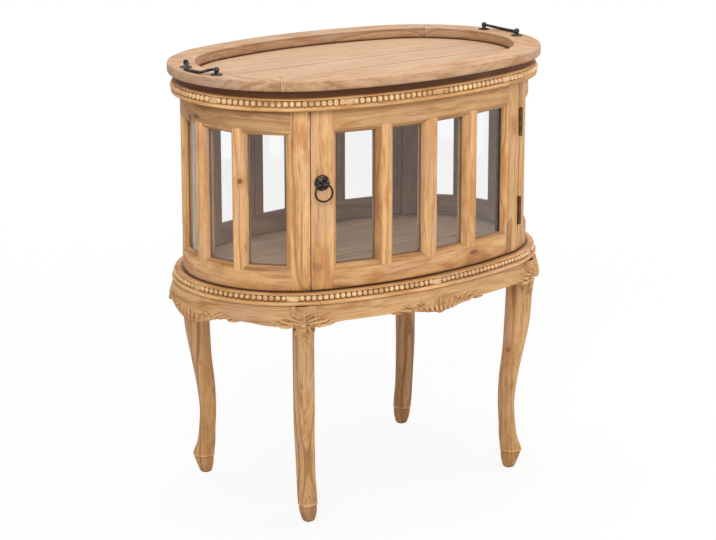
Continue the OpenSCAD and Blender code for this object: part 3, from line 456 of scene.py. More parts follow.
def toneAndShadeOf(node):
    return next((tone for words, tone in boardToneAndShade.items() if node.startswith(words)), 0.0)


# Straight-edged wood, taken from the CAD shapes with every edge rubbed down a little
softening = {"width": 0.0009, "fineWidth": 0.0005, "segments": 2, "angle": math.radians(28)}
runOf = {"rail": "round", "muntins": "upright", "stile": "upright", "stiles": "upright", "beads": "upright",
         "left": "upright", "right": "upright", "stop": "upright", "board": "wide", "blocks": "post"}
paleBoards = ("floor_board",)


def rubbedCopy(node, width, finish="teak"):
    mesh = cadNodes[node].data.copy()
    work = bmesh.new()
    work.from_mesh(mesh)
    bmesh.ops.remove_doubles(work, verts=work.verts, dist=2e-6)
    bmesh.ops.dissolve_limit(work, angle_limit=math.radians(0.4), verts=work.verts, edges=work.edges)
    bmesh.ops.dissolve_degenerate(work, dist=1e-6, edges=work.edges)
    work.to_mesh(mesh)
    work.free()
    piece = newPiece(camel(node), mesh, finish)
    bevel = piece.modifiers.new("rubbed", "BEVEL")
    bevel.width = width
    bevel.segments = softening["segments"]
    bevel.limit_method = "ANGLE"
    bevel.angle_limit = softening["angle"]
    settled(piece)
    shadeSoft(piece.data)
    return piece


# The inner faces of the wall are darker
def innerFaceDarkening(s, r, z):
    return 0.42 * ramp(r, 197, 186)


shapedHere = ("leg_", "apron_", "tray_", "base_board", "cornice")
rubbedNodes = [node for node in cadNodes if slotOf[node] == "teak" and not node.startswith(shapedHere)]
for node in rubbedNodes:
    fine = node.endswith(("beads", "muntins"))
    wall = node.startswith(("door_", "post_", "end_", "back_"))
    piece = rubbedCopy(node, softening["fineWidth" if fine else "width"],
                       "trayTeak" if node in paleBoards else "teak")
    cutFromPlank(piece, runOf[node.split("_")[-1]], toneAndShadeOf(node) + dice.uniform(-0.03, 0.03),
                 innerFaceDarkening if wall else None)
    if node.endswith("beads"):
        turnGrainOfCrossStrips(piece.data)
    fitPiece(piece, node)
print("rubbed wood pieces:", len(rubbedNodes))


# Lengths of moulding: profile points are (end radius, height) in millimetres, carried round the oval
def inset(profile, amount):
    along = np.roll(profile, -1, 0) - np.roll(profile, 1, 0)
    area = np.sum(profile[:, 0] * np.roll(profile[:, 1], -1) - np.roll(profile[:, 0], -1) * profile[:, 1])
    across = np.stack([-along[:, 1], along[:, 0]], -1) * np.sign(area)
    return profile + across / np.linalg.norm(across, axis=1, keepdims=True) * amount


def mouldingLength(name, profile, s0, s1, step=6.0, ease=0.35):
    profile = np.array(profile, float)
    places = np.linspace(s0 + ease, s1 - ease, max(3, round((s1 - s0) / step)))
    ends = inset(profile, ease)
    rings = [ovalPoints(s, *profile.T) for s in places]
    return tubeMesh(name, [ovalPoints(s0, *ends.T), *rings, ovalPoints(s1, *ends.T)])


# Each place in a list that goes all round, with the next one
def lengthsBetween(places):
    return zip(places, places[1:] + [places[0] + 4 * quarter])


def mouldingRing(node, mould):
    lengths = []
    for s0, s1 in lengthsBetween(mould["joints"]):
        mesh = mouldingLength(node, mould["profile"], s0 + 0.05, s1 - 0.05)
        length = newPiece(node, mesh, "carved")
        cutFromPlank(length, "round", toneAndShadeOf(node) + dice.uniform(-0.05, 0.05), mould["stain"])
        lengths.append(length)
    if "plate" in mould:
        radius, low, high = mould["plate"]
        mesh = tubeMesh(node, [ovalPoints(allRound, radius, z) for z in (low, high)])
        plate = newPiece(node, mesh, "carved")
        cutFromPlank(plate, "wide", toneAndShadeOf(node) - 0.15)
        lengths.append(plate)
    return joinedPiece(camel(node), lengths)


baseMould = {"profile": [(190, 411), (216.4, 411), (217.7, 411.7), (218, 412.8), (218, 415.7), (217.3, 417.1),
                         (214.5, 417.5), (211.4, 417.9), (209.8, 418.8), (209.4, 420.7), (209.3, 423.2),
                         (209.4, 425.7), (210, 427.6), (211.2, 428.4), (212.6, 428.8), (212.9, 429.3),
                         (212.4, 429.8), (209.5, 430.3), (205, 430.7), (200.5, 431), (190, 431)],
             "joints": [-700.0, -233.0, 233.0, 700.0], "plate": (190.5, 411.1, 430.9),
             # Painted shade in the channel behind the beads, and painted shadow lines at the moulding's foot over
             # the apron and on the ledge under the door
             "stain": lambda s, r, z: np.maximum(
                 np.maximum(0.42 * ramp(r, 211.5, 209.9) * ramp(z, 417.7, 419) * ramp(z, 428.6, 427.6),
                            0.8 * ramp(z, 412.4, 411.5)),
                 0.85 * ramp(r, 203.2, 201.0) * ramp(z, 430.5, 430.8))}
topMould = {"profile": [(190, 755.5), (211.5, 755.5), (213.2, 756.6), (213.9, 758.5), (213.6, 761),
                        (212.4, 762.3), (210.2, 763.1), (208.9, 764.6), (208.6, 768.8), (208.9, 773),
                        (210.3, 774.4),
                        (211.6, 775), (211.9, 775.9), (211.2, 776.7), (208, 777.2), (204.6, 778.6),
                        (202.4, 781.5), (201.4, 785.5), (201.2, 792), (190, 792)],
            "joints": [-760.0, -467.0, -150.0, 180.0, 467.0, 780.0],
            # Painted shade in the channel behind the beads and under the cornice, and the tray rim's painted shadow
            # over dark stain in the cove
            "stain": lambda s, r, z: np.maximum(
                np.maximum(0.42 * ramp(r, 211, 209) * ramp(z, 763.4, 765) * ramp(z, 775, 773),
                           0.5 * ramp(z, 757.2, 756.2)),
                1.2 * ramp(z, 776.6, 779.0) * ramp(r, 190, 199))}
beadRows = {"base": {"r": 210.8, "z": 423.4, "pitch": 10.4, "long": 9.6, "high": 10.4, "proud": 5.0,
                     "breaks": [-700, -460, -277, 2, 277, 460, 700, 932], "gap": 15.0, "seed": 3},
            "top": {"r": 210.8, "z": 768.8, "pitch": 10.8, "long": 9.8, "high": 11.0, "proud": 5.2,
                    "breaks": [-755, -415, -179, 5, 179, 415, 755, 932], "gap": 13.0, "seed": 8}}


# Node tree that sets beads along every curve of its input mesh
def beadTree():
    tree = bpy.data.node_groups.new("beadRow", "GeometryNodeTree")
    face = tree.interface
    face.new_socket("Geometry", in_out="INPUT", socket_type="NodeSocketGeometry")
    for label in ("Pitch", "Long", "High", "Proud"):
        face.new_socket(label, in_out="INPUT", socket_type="NodeSocketFloat")
    face.new_socket("Seed", in_out="INPUT", socket_type="NodeSocketInt")
    face.new_socket("Finish", in_out="INPUT", socket_type="NodeSocketMaterial")
    face.new_socket("Geometry", in_out="OUTPUT", socket_type="NodeSocketGeometry")
    given = addNode(tree, "NodeGroupInput").outputs
    line = addNode(tree, "GeometryNodeMeshToCurve", {"Mesh": given["Geometry"]})
    line = addNode(tree, "GeometryNodeResampleCurve", {"Curve": line.outputs[0], "Length": given["Pitch"]},
                   mode="LENGTH")
    tangent = addNode(tree, "GeometryNodeInputTangent").outputs[0]
    turned = addNode(tree, "FunctionNodeAlignRotationToVector", {"Vector": tangent}, axis="X", pivot_axis="Z")
    sphere = addNode(tree, "GeometryNodeMeshUVSphere", {"Segments": 10, "Rings": 6, "Radius": 0.5})
    size = addNode(tree, "ShaderNodeCombineXYZ", {0: given["Long"], 1: given["Proud"], 2: given["High"]})
    wobble = addNode(tree, "FunctionNodeRandomValue", {0: (0.84, 0.88, 0.90), 1: (1.08, 1.10, 1.05),
                                                       "Seed": given["Seed"]}, data_type="FLOAT_VECTOR")
    size = vectorOf(tree, "MULTIPLY", size.outputs[0], wobble.outputs[0])
    beads = addNode(tree, "GeometryNodeInstanceOnPoints",
                    {"Points": line.outputs[0], "Instance": sphere.outputs["Mesh"],
                     "Rotation": turned.outputs[0], "Scale": size.outputs[0]})
    solid = addNode(tree, "GeometryNodeRealizeInstances", {0: beads.outputs[0]})
    smooth = addNode(tree, "GeometryNodeSetShadeSmooth", {"Geometry": solid.outputs[0]})
    painted = addNode(tree, "GeometryNodeSetMaterial", {"Geometry": smooth.outputs[0],
                                                        "Material": given["Finish"]})
    addNode(tree, "NodeGroupOutput", {0: painted.outputs[0]})
    return tree


# Runs a node tree on an object with named inputs and leaves a plain mesh
def grown(piece, tree, values):
    modifier = piece.modifiers.new(tree.name, "NODES")
    modifier.node_group = tree
    sockets = {item.name: item.identifier for item in tree.interface.items_tree
               if item.item_type == "SOCKET" and item.in_out == "INPUT"}
    for label, value in values.items():
        modifier[sockets[label]] = value
    return settled(piece)


def beadRow(name, row, tree):
    vertices, edges = [], []
    for s0, s1 in lengthsBetween(row["breaks"]):
        run = np.linspace(s0 + row["gap"], s1 - row["gap"], 60)
        edges += [(len(vertices) + i, len(vertices) + i + 1) for i in range(len(run) - 1)]
        vertices += ovalPoints(run, row["r"], row["z"]).tolist()
    mesh = bpy.data.meshes.new(name)
    mesh.from_pydata(vertices, edges, [])
    piece = newPiece(name, mesh, "pearl")
    grown(piece, tree, {"Pitch": row["pitch"] / 1000, "Long": row["long"] / 1000, "High": row["high"] / 1000,
                        "Proud": 2 * row["proud"] / 1000, "Seed": row["seed"], "Finish": finishes["pearl"]})
    cutFromPlank(piece, "round")
    return piece


# Carved relief. A stroke is a leaf cut with a gouge: three points that bend it, its width and its rise, in
# millimetres. Its back is hollowed, and it gets lower towards its tip.
def reliefOf(strokes, x, z):
    rise = np.zeros_like(x)
    for x0, z0, x1, z1, x2, z2, width, height in strokes:
        for t in np.linspace(0, 1, 15):
            a, b, c = (1 - t) ** 2, 2 * t * (1 - t), t * t
            half = width / 2 * math.sin(math.pi * (0.12 + 0.86 * t) ** 0.8)
            away = np.hypot(x - a * x0 - b * x1 - c * x2, z - a * z0 - b * z1 - c * z2) / max(half, 0.3)
            dome = np.sqrt(np.clip(1 - away * away, 0, 1)) * (1 - 0.32 * np.exp(-(away / 0.28) ** 2))
            rise = np.maximum(rise, height * (1 - 0.35 * t) * dome)
    return rise


def bothWays(strokes):
    turned = [(-x0, z0, -x1, z1, -x2, z2, w, h) for x0, z0, x1, z1, x2, z2, w, h in strokes]
    return strokes + turned


def blurred(values, cells):
    reach = np.arange(-3 * cells, 3 * cells + 1)
    weight = np.exp(-0.5 * (reach / cells) ** 2)
    for axis in (0, 1):
        pad = [(3 * cells, 3 * cells) if axis == i else (0, 0) for i in (0, 1)]
        wide = np.pad(values, pad, mode="edge")
        length = values.shape[axis]
        values = sum(w * np.take(wide, range(k, k + length), axis) for k, w in enumerate(weight)) / weight.sum()
    return values


# Cuts a relief into the wood that lies behind s, z: the strokes stand on the surface that rays find there.
# Strokes that hug have their heights counted from the lower edge of the wood.
def carvedWork(name, strokes, s0, z0, wood, step=1.0, hug=False, gain=1.0):
    numbers = np.array(strokes)
    xs = np.arange(numbers[:, [0, 2, 4]].min() - 6, numbers[:, [0, 2, 4]].max() + 6, step)
    zs = np.arange(numbers[:, [1, 3, 5]].min() - 6, numbers[:, [1, 3, 5]].max() + (26 if hug else 6), step)
    x, z = np.meshgrid(xs, zs, indexing="ij")
    starts, ends = ovalPoints(s0 + x, 262.0, z0 + z), ovalPoints(s0 + x, 162.0, z0 + z)
    found = np.full(x.shape, np.nan)
    for i, j in np.ndindex(x.shape):
        start = Vector(starts[i, j])
        hit = wood.ray_cast(start, Vector(ends[i, j]) - start, 0.07)
        if hit[3] is not None:
            found[i, j] = 262.0 - 1000 * hit[3]
    solid = ~np.isnan(found)
    edge = np.array([zs[column].min() if column.any() else zs[0] for column in solid]) if hug else 0 * xs
    relief = gain * reliefOf(strokes, x, z - edge[:, None])
    near = solid.copy()
    for _ in range(round(3 / step)):
        near[:, :-1] |= near[:, 1:]
    for j in range(len(zs) - 2, -1, -1):
        found[:, j] = np.where(np.isnan(found[:, j]), found[:, j + 1], found[:, j])
    found = np.where(np.isnan(found), np.nanmean(found), found)
    ground = blurred(found, 3)
    # Leaves stand proud, the ground between them is cut level, and beyond them the skin dives into the wood
    around = blurred(relief, 2)
    cut = (relief > 0.15) & near
    field = (around > 0.45) & solid & ~cut
    r = np.where(cut, ground + relief, np.where(field, ground + 0.25, np.minimum(ground, found) - 1.5))
    # Painted shade in the ground round the leaves, with old polish, and a painted highlight on their ridges, with
    # wear
    dark = 0.85 * ramp(around, 0.25, 1.1) * ramp(relief, 1.3, 0.2)
    light = 0.22 * ramp(relief - around, 0.1, 1.2)
    valid = solid | cut
    keep = np.ones((len(xs) - 1, len(zs) - 1), bool)
    touched = np.zeros_like(keep)
    for a, b in ((0, 0), (1, 0), (0, 1), (1, 1)):
        corner = (slice(a, len(xs) - 1 + a), slice(b, len(zs) - 1 + b))
        keep &= valid[corner]
        touched |= cut[corner] | field[corner]
    keep &= touched
    for _ in range(8):
        a, b, c, d = keep[:-1, :-1], keep[1:, :-1], keep[:-1, 1:], keep[1:, 1:]
        falling, rising = a & d & ~b & ~c, b & c & ~a & ~d
        keep[:-1, :-1] &= ~falling
        keep[1:, :-1] &= ~rising
    top = ovalPoints(s0 + x, r, z0 + z).reshape(-1, 3)
    under = ovalPoints(s0 + x, np.minimum(ground, found) - 6, z0 + z).reshape(-1, 3)
    at = np.arange(x.size).reshape(x.shape)
    quads = np.stack([at[:-1, :-1], at[1:, :-1], at[1:, 1:], at[:-1, 1:]], -1)[keep]
    sides = np.concatenate([quads[:, [k, (k + 1) % 4]] for k in range(4)])
    keys = np.sort(sides, 1)
    _, first, count = np.unique(keys[:, 0] * x.size + keys[:, 1], return_index=True, return_counts=True)
    rims = sides[first[count == 1]]
    walls = [[b, a, a + x.size, b + x.size] for a, b in rims.tolist()]
    faces = quads.tolist() + (quads[:, ::-1] + x.size).tolist() + walls
    used = np.unique(np.concatenate([quads.ravel(), quads.ravel() + x.size]))
    place = np.zeros(2 * x.size, int)
    place[used] = np.arange(len(used))
    piece = newPiece(name, meshFrom(name, np.concatenate([top, under])[used],
                                    [[int(place[k]) for k in face] for face in faces]), "carved")
    dark, light = (np.tile(values.ravel(), 2)[used] for values in (dark, light))
    cutFromPlank(piece, "round", toneAndShadeOf("apron") + light, lambda s, r, z: dark)
    return piece


def woodBehind(pieces):
    points, faces = [], []
    for piece in pieces:
        start = len(points)
        points += [v.co for v in piece.data.vertices]
        faces += [[start + k for k in face.vertices] for face in piece.data.polygons]
    return BVHTree.FromPolygons(points, faces)


# Small flower with leaves to both sides, cut where a row of beads is broken
flower = [(0, -1.6, 0, 0, 0, 1.6, 6.0, 3.4)] + bothWays([
    (1.6, 0.6, 4.4, 2.6, 6.0, 4.4, 4.4, 3.0), (1.6, -0.6, 4.4, -2.6, 6.0, -4.4, 4.4, 3.0),
    (3.6, 0, 8.0, 1.2, 12.6, 0.4, 4.2, 2.8), (6.4, 1.6, 9.0, 3.6, 11.0, 4.2, 3.0, 2.2),
    (6.4, -1.6, 9.0, -3.4, 11.0, -4.0, 3.0, 2.2)]) \
    + [(0, 1.4, 0, 3, 0, 5, 4.0, 2.6), (0, -1.4, 0, -3, 0, -5, 4.0, 2.6)]


def beadedMould(node, mould, row, tree):
    ring = fitPiece(mouldingRing(node, mould), node)
    pearls = beadRow(camel(node) + "Beads", row, tree)
    wood = woodBehind([ring])
    flowers = [carvedWork(node, flower, at, row["z"], wood, 0.8) for at in row["breaks"]]
    for bloom in flowers:
        bloom.data.materials[0] = finishes["pearl"]
    flowers = joinedPiece(camel(node) + "Flowers", flowers, 60)
    addTo(pearls, node)
    addTo(flowers, node)


tree = beadTree()
beadedMould("base_board", baseMould, beadRows["base"], tree)
beadedMould("cornice", topMould, beadRows["top"], tree)
print("beaded mouldings ready")

# Tray: rim in four sawn lengths with lightly worn edges, round a sunk floor with a dark joint
trayShape = {"rim": [(170, 790.5), (184.4, 790.5), (184.4, 792.1), (217.6, 792.1), (219.2, 792.8),
                     (219.9, 794.4), (220, 797), (220, 805), (219.8, 807.2), (219, 809), (217.4, 809.8),
                     (214.8, 810),
                     (200, 810), (185, 810), (171.6, 810), (169.8, 809.7), (168.8, 808.9), (168.2, 807.4),
                     (168, 804.5), (168.1, 800), (168.6, 794.6), (169.6, 791.6)],
             "split": 294.0, "floor": 184.0, "floorTop": 790.5, "floorFoot": 782.5, "joint": 168.6}


# The joint at the foot of the rim is dark; the rest is painted shade: on the inner wall, strongest under the lip,
# on the rim's outer face and on its underside
def trayJointAndShade(s, r, z):
    foot = 0.9 * ramp(z, 794.5, 791.8) * ramp(r, 172, 170)
    inside = 0.10 * ramp(r, 170.6, 169.2) + 0.45 * ramp(r, 171.5, 169.0) * ramp(z, 804.5, 808)
    outside = 0.14 * ramp(r, 218.6, 219.6) + 0.25 * ramp(z, 796, 793) * ramp(r, 214, 218)
    return np.maximum(foot, inside + outside)


def floorStain(s, r, z):
    return 0.95 * ramp(r, trayShape["joint"] - 3.2, trayShape["joint"] - 1.8)


split = trayShape["split"]
ends = [-split, split, 2 * quarter - split, 2 * quarter + split, 4 * quarter - split]
for side, s0, s1 in zip(("front", "right", "back", "left"), ends, ends[1:]):
    node = "tray_rim_" + side
    mesh = mouldingLength(node, trayShape["rim"], s0 + 0.1, s1 - 0.1, 5.0, 0.5)
    piece = newPiece(camel(node), mesh, "rimTeak")
    cutFromPlank(piece, "wide" if side in ("front", "back") else "deep", toneAndShadeOf(node), trayJointAndShade)
    shadeSoft(piece.data)
    fitPiece(piece, node)

rings = [(1, trayShape["floorFoot"]), (trayShape["floor"], trayShape["floorFoot"])]
rings += [(r, trayShape["floorTop"]) for r in (trayShape["floor"], 172, 168, 166.6, 165.2, 163, 120, 60, 1)]
mesh = tubeMesh("trayFloor", [ovalPoints(allRound, r, z) for r, z in rings])
piece = newPiece("trayFloor", mesh, "trayTeak")
cutFromPlank(piece, "wide", toneAndShadeOf("tray_floor"), floorStain)
shadeSoft(piece.data)
fitPiece(piece, "tray_floor")
print("tray ready")

# Cabriole legs in millimetres. Each row is height, shift along X and Y, half size along the diagonal and
# across it. The foot has a collar with a line cut under it, and the block on top stands between the aprons.
legShape = {"foot": (240.0, 164.0), "power": 1.42, "points": 40, "turn": math.radians(45), "levels": 76,
            "rows": [(0, -1, 2, 11, 11), (16, 0, 2.5, 16, 15.5), (36, 2, 3.5, 20, 17.5),
                     (60, -0.5, -2, 17.5, 18), (85, -1, -5, 16, 17.5), (130, -1.5, -8, 16, 18),
                     (180, 1.5, -6, 18, 19), (230, 6, 0, 20, 19.5), (290, 10.5, 5.5, 24, 19.5),
                     (350, 12.5, 8, 25, 19.5), (372, 13.5, 9, 26, 19.5), (396, 18.5, 12, 28, 20),
                     (411, 17, 11, 24, 20)],
            "fineLevels": [1.0, 2.2, 29.5, 30.6, 31.3, 31.9, 32.5, 33.6, 35.2],
            "collarRise": 0.7, "lineDepth": 0.7, "soleRound": 1.2, "collarLight": 0.30,
            "block": {"angle": math.atan2(174, 101), "out": 221.0, "deep": 45.5, "wide": 44.0, "high": 34.0}}


# Values of the rows at the heights z, on a smooth curve through them
def smoothRows(rows, z):
    rows = np.array(rows, float)
    k = np.clip(np.searchsorted(rows[:, 0], z, "right") - 1, 0, len(rows) - 2)
    span = (rows[k + 1, 0] - rows[k, 0])[:, None]
    t = (z - rows[k, 0])[:, None] / span
    before, after = np.vstack([rows[:1], rows[:-1]]), np.vstack([rows[1:], rows[-1:]])
    slope = (after - before)[:, 1:] / (after - before)[:, :1]
    a, b, ma, mb = rows[k, 1:], rows[k + 1, 1:], slope[k] * span, slope[k + 1] * span
    return (2 * t ** 3 - 3 * t ** 2 + 1) * a + (t ** 3 - 2 * t ** 2 + t) * ma \
        + (3 * t ** 2 - 2 * t ** 3) * b + (t ** 3 - t ** 2) * mb


def legMesh(name, sx, sy):
    z = np.unique(np.concatenate([np.linspace(0, legShape["rows"][-1][0], legShape["levels"]),
                                  legShape["fineLevels"]]))
    shiftX, shiftY, along, across = smoothRows(legShape["rows"], z).T
    swell = legShape["collarRise"] * ramp(z, 31.4, 32.4) * ramp(z, 42, 33) \
        - legShape["lineDepth"] * ramp(z, 32.3, 31.2) * ramp(z, 22, 31) \
        - legShape["soleRound"] * ramp(z, 2.0, 0.0)
    a = np.linspace(0, 2 * math.pi, legShape["points"], endpoint=False)
    power = 2 / legShape["power"]
    u = np.outer(along + swell, np.sign(np.cos(a)) * np.abs(np.cos(a)) ** power)
    v = np.outer(across + swell, np.sign(np.sin(a)) * np.abs(np.sin(a)) ** power)
    c, k = math.cos(legShape["turn"]), math.sin(legShape["turn"])
    x = legShape["foot"][0] + shiftX[:, None] + u * c - v * k
    y = legShape["foot"][1] + shiftY[:, None] + u * k + v * c
    return tubeMesh(name, np.stack([sx * x, sy * y, np.broadcast_to(z[:, None], x.shape)], -1) / 1000)


def blockMesh(name, sx, sy):
    block = legShape["block"]
    c, k = math.cos(block["angle"]), math.sin(block["angle"])
    outer, inner = block["out"], block["out"] - block["deep"]
    rings = [[(sx * (plan["endCentre"] + out * c - side * block["wide"] / 2 * k) / 1000,
               sy * (out * k + side * block["wide"] / 2 * c) / 1000, z / 1000)
              for out, side in ((inner, -1), (outer, -1), (outer, 1), (inner, 1))]
             for z in (plan["stand"] - block["high"], plan["stand"])]
    return tubeMesh(name, rings)


# The toe under the collar is darker, and the line cut round it is painted shade
def toeDarkening(s, r, z):
    line = 0.75 * ramp(z, 32.2, 31.5) * ramp(z, 29.5, 31.0)
    return np.maximum(0.13 * ramp(z, 260, 60) + 0.08 * ramp(z, 32.4, 31.4), line)


underWood = []
for node in [name for name in cadNodes if name.startswith("leg_")]:
    sx, sy = (-1 if "left" in node else 1), (-1 if "front" in node else 1)
    post = newPiece(node, legMesh(node, sx, sy), "carved")
    block = newPiece(node + "Block", blockMesh(node, sx, sy), "carved")
    piece = joinedPiece(camel(node), [post, block], 50)
    height = meshPoints(piece.data)[:, 2] * 1000
    # Painted highlight along the top of the collar
    collarLight = legShape["collarLight"] * ramp(height, 32.3, 32.8) * ramp(height, 38.0, 35.0)
    cutFromPlank(piece, "post", toneAndShadeOf(node) + collarLight, toeDarkening)
    underWood.append(fitPiece(piece, node))
for node in [name for name in cadNodes if name.startswith("apron_")]:
    piece = rubbedCopy(node, softening["width"], "carved")
    cutFromPlank(piece, "round", toneAndShadeOf(node) + dice.uniform(-0.03, 0.03))
    underWood.append(fitPiece(piece, node))

# Leaves carved over the knees and in the middle of each apron
kneeLeaves = bothWays([(9, -9, 26, -9, 54, -2, 8, 3.2), (8, -3, 24, -1, 46, 6, 6.5, 3.2),
                       (7, 2, 18, 7, 36, 12, 6, 3.0), (5, 7, 12, 13, 24, 17, 5.5, 2.6),
                       (30, 7, 37, 13, 44, 14, 4, 2.2), (38, -2, 48, 2, 58, 3, 4.5, 2.2),
                       (20, -3, 27, -1, 33, 4, 3.6, 2.6), (6, -8, 13, -17, 15, -34, 6.5, 3.0),
                       (11, -5, 18, -9, 19, -20, 5, 2.6), (3, -26, 8, -36, 9, -50, 4.5, 2.2)]) \
    + [(0, 4, 0, 11, 0, 19, 6.5, 2.8), (0, -6, 0, -20, 0, -44, 10, 3.4), (-4, -3, 0, -6, 4, -3, 6, 3.6)]
apronLeaves = bothWays([(8.5, 1, 11, 10, 9, 20, 6.5, 3.8), (18, 1, 23, 8, 21, 17, 6.5, 3.4),
                        (27, 0, 34, 8, 36, 14, 6, 3.2), (37, 0, 46, 5, 50, 13, 6, 3.2),
                        (48, 0, 57, 4, 66, 12, 5.5, 3.0), (44, 10, 40, 17, 32, 17, 4, 2.6),
                        (58, -2, 74, 2, 94, 4, 7.5, 3.0), (62, 7, 70, 11, 80, 10, 4.5, 2.4),
                        (82, -3, 92, -2, 104, -1, 5, 2.4)]) \
    + [(0, 1, 0, 12, 0, 24, 8, 4.2), (-6, -1, 0, -2, 6, -1, 6, 3.4)]
legAround = sideLength + (math.pi / 2 - sideAngle - legShape["block"]["angle"]) * plan["wall"]
wood = woodBehind(underWood)
knees = [carvedWork("knee", kneeLeaves, s, 382, wood)
         for s in (-legAround, legAround, 2 * quarter - legAround, legAround - 2 * quarter)]
addTo(joinedPiece("kneeCarving", knees, 60), "apron_front")
apronMiddles = ((0, 368, 1.0), (2 * quarter, 368, 1.0), (quarter, 360, 1.4), (-quarter, 360, 1.4))
aprons = [carvedWork("apron", apronLeaves, s, z, wood, hug=True, gain=gain) for s, z, gain in apronMiddles]
addTo(joinedPiece("apronCarving", aprons, 60), "apron_front")
print("legs, aprons and carving ready")


# Turned and bent ironwork. Local axes: right, up and out of the surface, with a centre in millimetres
def placedBy(points, centre, right, up, out):
    points = np.asarray(points, float)
    return (np.array(centre) + points[..., :1] * np.array(right) + points[..., 1:2] * np.array(up)
            + points[..., 2:] * np.array(out)) / 1000


def turnedRings(profile, count=28):
    a = np.linspace(0, 2 * math.pi, count, endpoint=False)
    return np.array([np.stack([r * np.cos(a), r * np.sin(a), np.full(count, w)], -1) for r, w in profile])


def bentWire(path, radius, count=12, closed=False):
    path = np.asarray(path, float)
    radius = np.broadcast_to(radius, len(path))
    along = np.roll(path, -1, 0) - np.roll(path, 1, 0) if closed else np.gradient(path, axis=0)
    along /= np.linalg.norm(along, axis=1, keepdims=True)
    flat = np.linalg.svd(path - path.mean(0))[2][-1]
    side = np.cross(along, flat)
    side /= np.linalg.norm(side, axis=1, keepdims=True)
    up = np.cross(side, along)
    a = np.linspace(0, 2 * math.pi, count, endpoint=False)[:, None]
    return path[:, None] + radius[:, None, None] * (side[:, None] * np.cos(a) + up[:, None] * np.sin(a))


# Drop handles of the tray: round plates, ball-headed posts and a swan-necked bail that rests on the rim
handleShape = {"x": 344.5, "span": 96.0, "pivot": 819.0, "rim": 810.0, "clear": 0.3, "reach": 21.0,
               "wire": 2.7, "neck": 21.0, "end": 42.6, "tenon": 4.6, "tenonRadius": 1.8, "thin": 1.9,
               "post": [(0.01, 793), (2, 793), (2, 809.9), (10.3, 810), (11, 810.5), (11, 811.3), (10.2, 812),
                        (8, 812.2), (7.2, 812.8), (5, 813.2), (3.9, 814.2), (3.6, 815.4), (4.3, 816.2),
                        (4.9, 817.4), (5, 819), (4.8, 820.8), (4, 822.5), (2.6, 823.6), (0.01, 824)]}
posts = []
for x, y in ((-1, -1), (-1, 1), (1, -1), (1, 1)):
    centre = (x * handleShape["x"], y * handleShape["span"] / 2, 0)
    rings = placedBy(turnedRings(handleShape["post"]), centre, (1, 0, 0), (0, 1, 0), (0, 0, 1))
    posts.append(newPiece("post", tubeMesh("post", rings), "iron"))
fitPiece(joinedPiece("handlePosts", posts), "handle_posts")
room = handleShape["pivot"] - handleShape["rim"] - handleShape["wire"] - handleShape["clear"]
tilt = math.asin(room / handleShape["reach"])
bailEnd = handleShape["end"] + handleShape["tenon"]
for node, side in (("handle_left", -1), ("handle_right", 1)):
    y = np.linspace(-bailEnd, bailEnd, 81)
    inside = handleShape["end"] - np.abs(y)
    neck = ramp(inside, 0, handleShape["neck"])
    out = handleShape["reach"] * neck * (0.86 + 0.14 * np.cos(y / handleShape["end"] * 1.5))
    swelling = (handleShape["wire"] - handleShape["thin"]) * ramp(inside, 0.0, 9.0)
    thick = np.where(inside < 0, handleShape["tenonRadius"], handleShape["thin"] + swelling)
    thick = thick + 0.5 * np.exp(-((inside - 3) / 1.3) ** 2)
    path = np.stack([side * (handleShape["x"] + out * math.cos(tilt)), y,
                     handleShape["pivot"] - out * math.sin(tilt)], -1)
    bail = newPiece(camel(node), tubeMesh(node, bentWire(path, thick) / 1000), "iron")
    shadeSoft(bail.data, 60)
    fitPiece(bail, node)

# Ring pull: a petalled rosette with an eye, and a ring that hangs through it
pullShape = {"s": -224.0, "z": 626.0, "ringRadius": 15.5, "wire": 1.8, "eyeOut": 11.5, "eyeRadius": 3.4,
             "eyeWire": 1.15, "petals": 8,
             "rosette": [(0.01, -0.6), (13.9, -0.6), (14, 0.4), (13.8, 1.4), (13.0, 2.2), (11.6, 2.7),
                         (10.2, 2.4),
                         (9.4, 2.2), (8.6, 2.9), (7.2, 4.0), (5.6, 4.6), (4.4, 4.4), (3.8, 4.9), (3.2, 5.9),
                         (2.4, 6.6), (0.01, 6.9)]}
near, far = (ovalPoints(pullShape["s"], plan["wall"] + out, pullShape["z"]) * 1000 for out in (0, 100))
outward = (far - near) / 100
pullAxes = ((-outward[1], outward[0], 0.0), (0.0, 0.0, 1.0), tuple(outward))


def pullPart(name, rings, closed=False):
    return newPiece(name, tubeMesh(name, placedBy(rings, near, *pullAxes), closed), "iron")


rings = turnedRings(pullShape["rosette"], 64)
radius = np.hypot(rings[..., 0], rings[..., 1])
angle = np.arctan2(rings[..., 1], rings[..., 0])
lobe = np.abs(np.cos(pullShape["petals"] / 2 * angle)) ** 0.7
petal = np.exp(-((radius - 10.5) / 3.2) ** 2) * (rings[..., 2] > 1)
rings[..., 2] += petal * (1.5 * lobe - 0.6)
rings[..., :2] *= (1 - 0.07 * (1 - lobe) * ramp(radius, 8, 13))[..., None]
turn = np.linspace(0, 2 * math.pi, 25)[:-1]
eye = np.stack([0 * turn, pullShape["eyeRadius"] * np.cos(turn),
                pullShape["eyeOut"] + pullShape["eyeRadius"] * np.sin(turn)], -1)
stud = turnedRings([(0.01, -26.5), (1.95, -26.5), (1.95, -0.5), (0.01, -0.5)], 16)
rosette = [pullPart("rosette", rings), pullPart("eye", bentWire(eye, pullShape["eyeWire"], 10, True), True),
           pullPart("stud", stud)]
fitPiece(joinedPiece("pullRosette", rosette), "pull_rosette")
turn = np.linspace(0, 2 * math.pi, 65)[:-1]
ring = np.stack([pullShape["ringRadius"] * np.sin(turn), pullShape["ringRadius"] * (np.cos(turn) - 1),
                 pullShape["eyeOut"] + 0 * turn], -1)
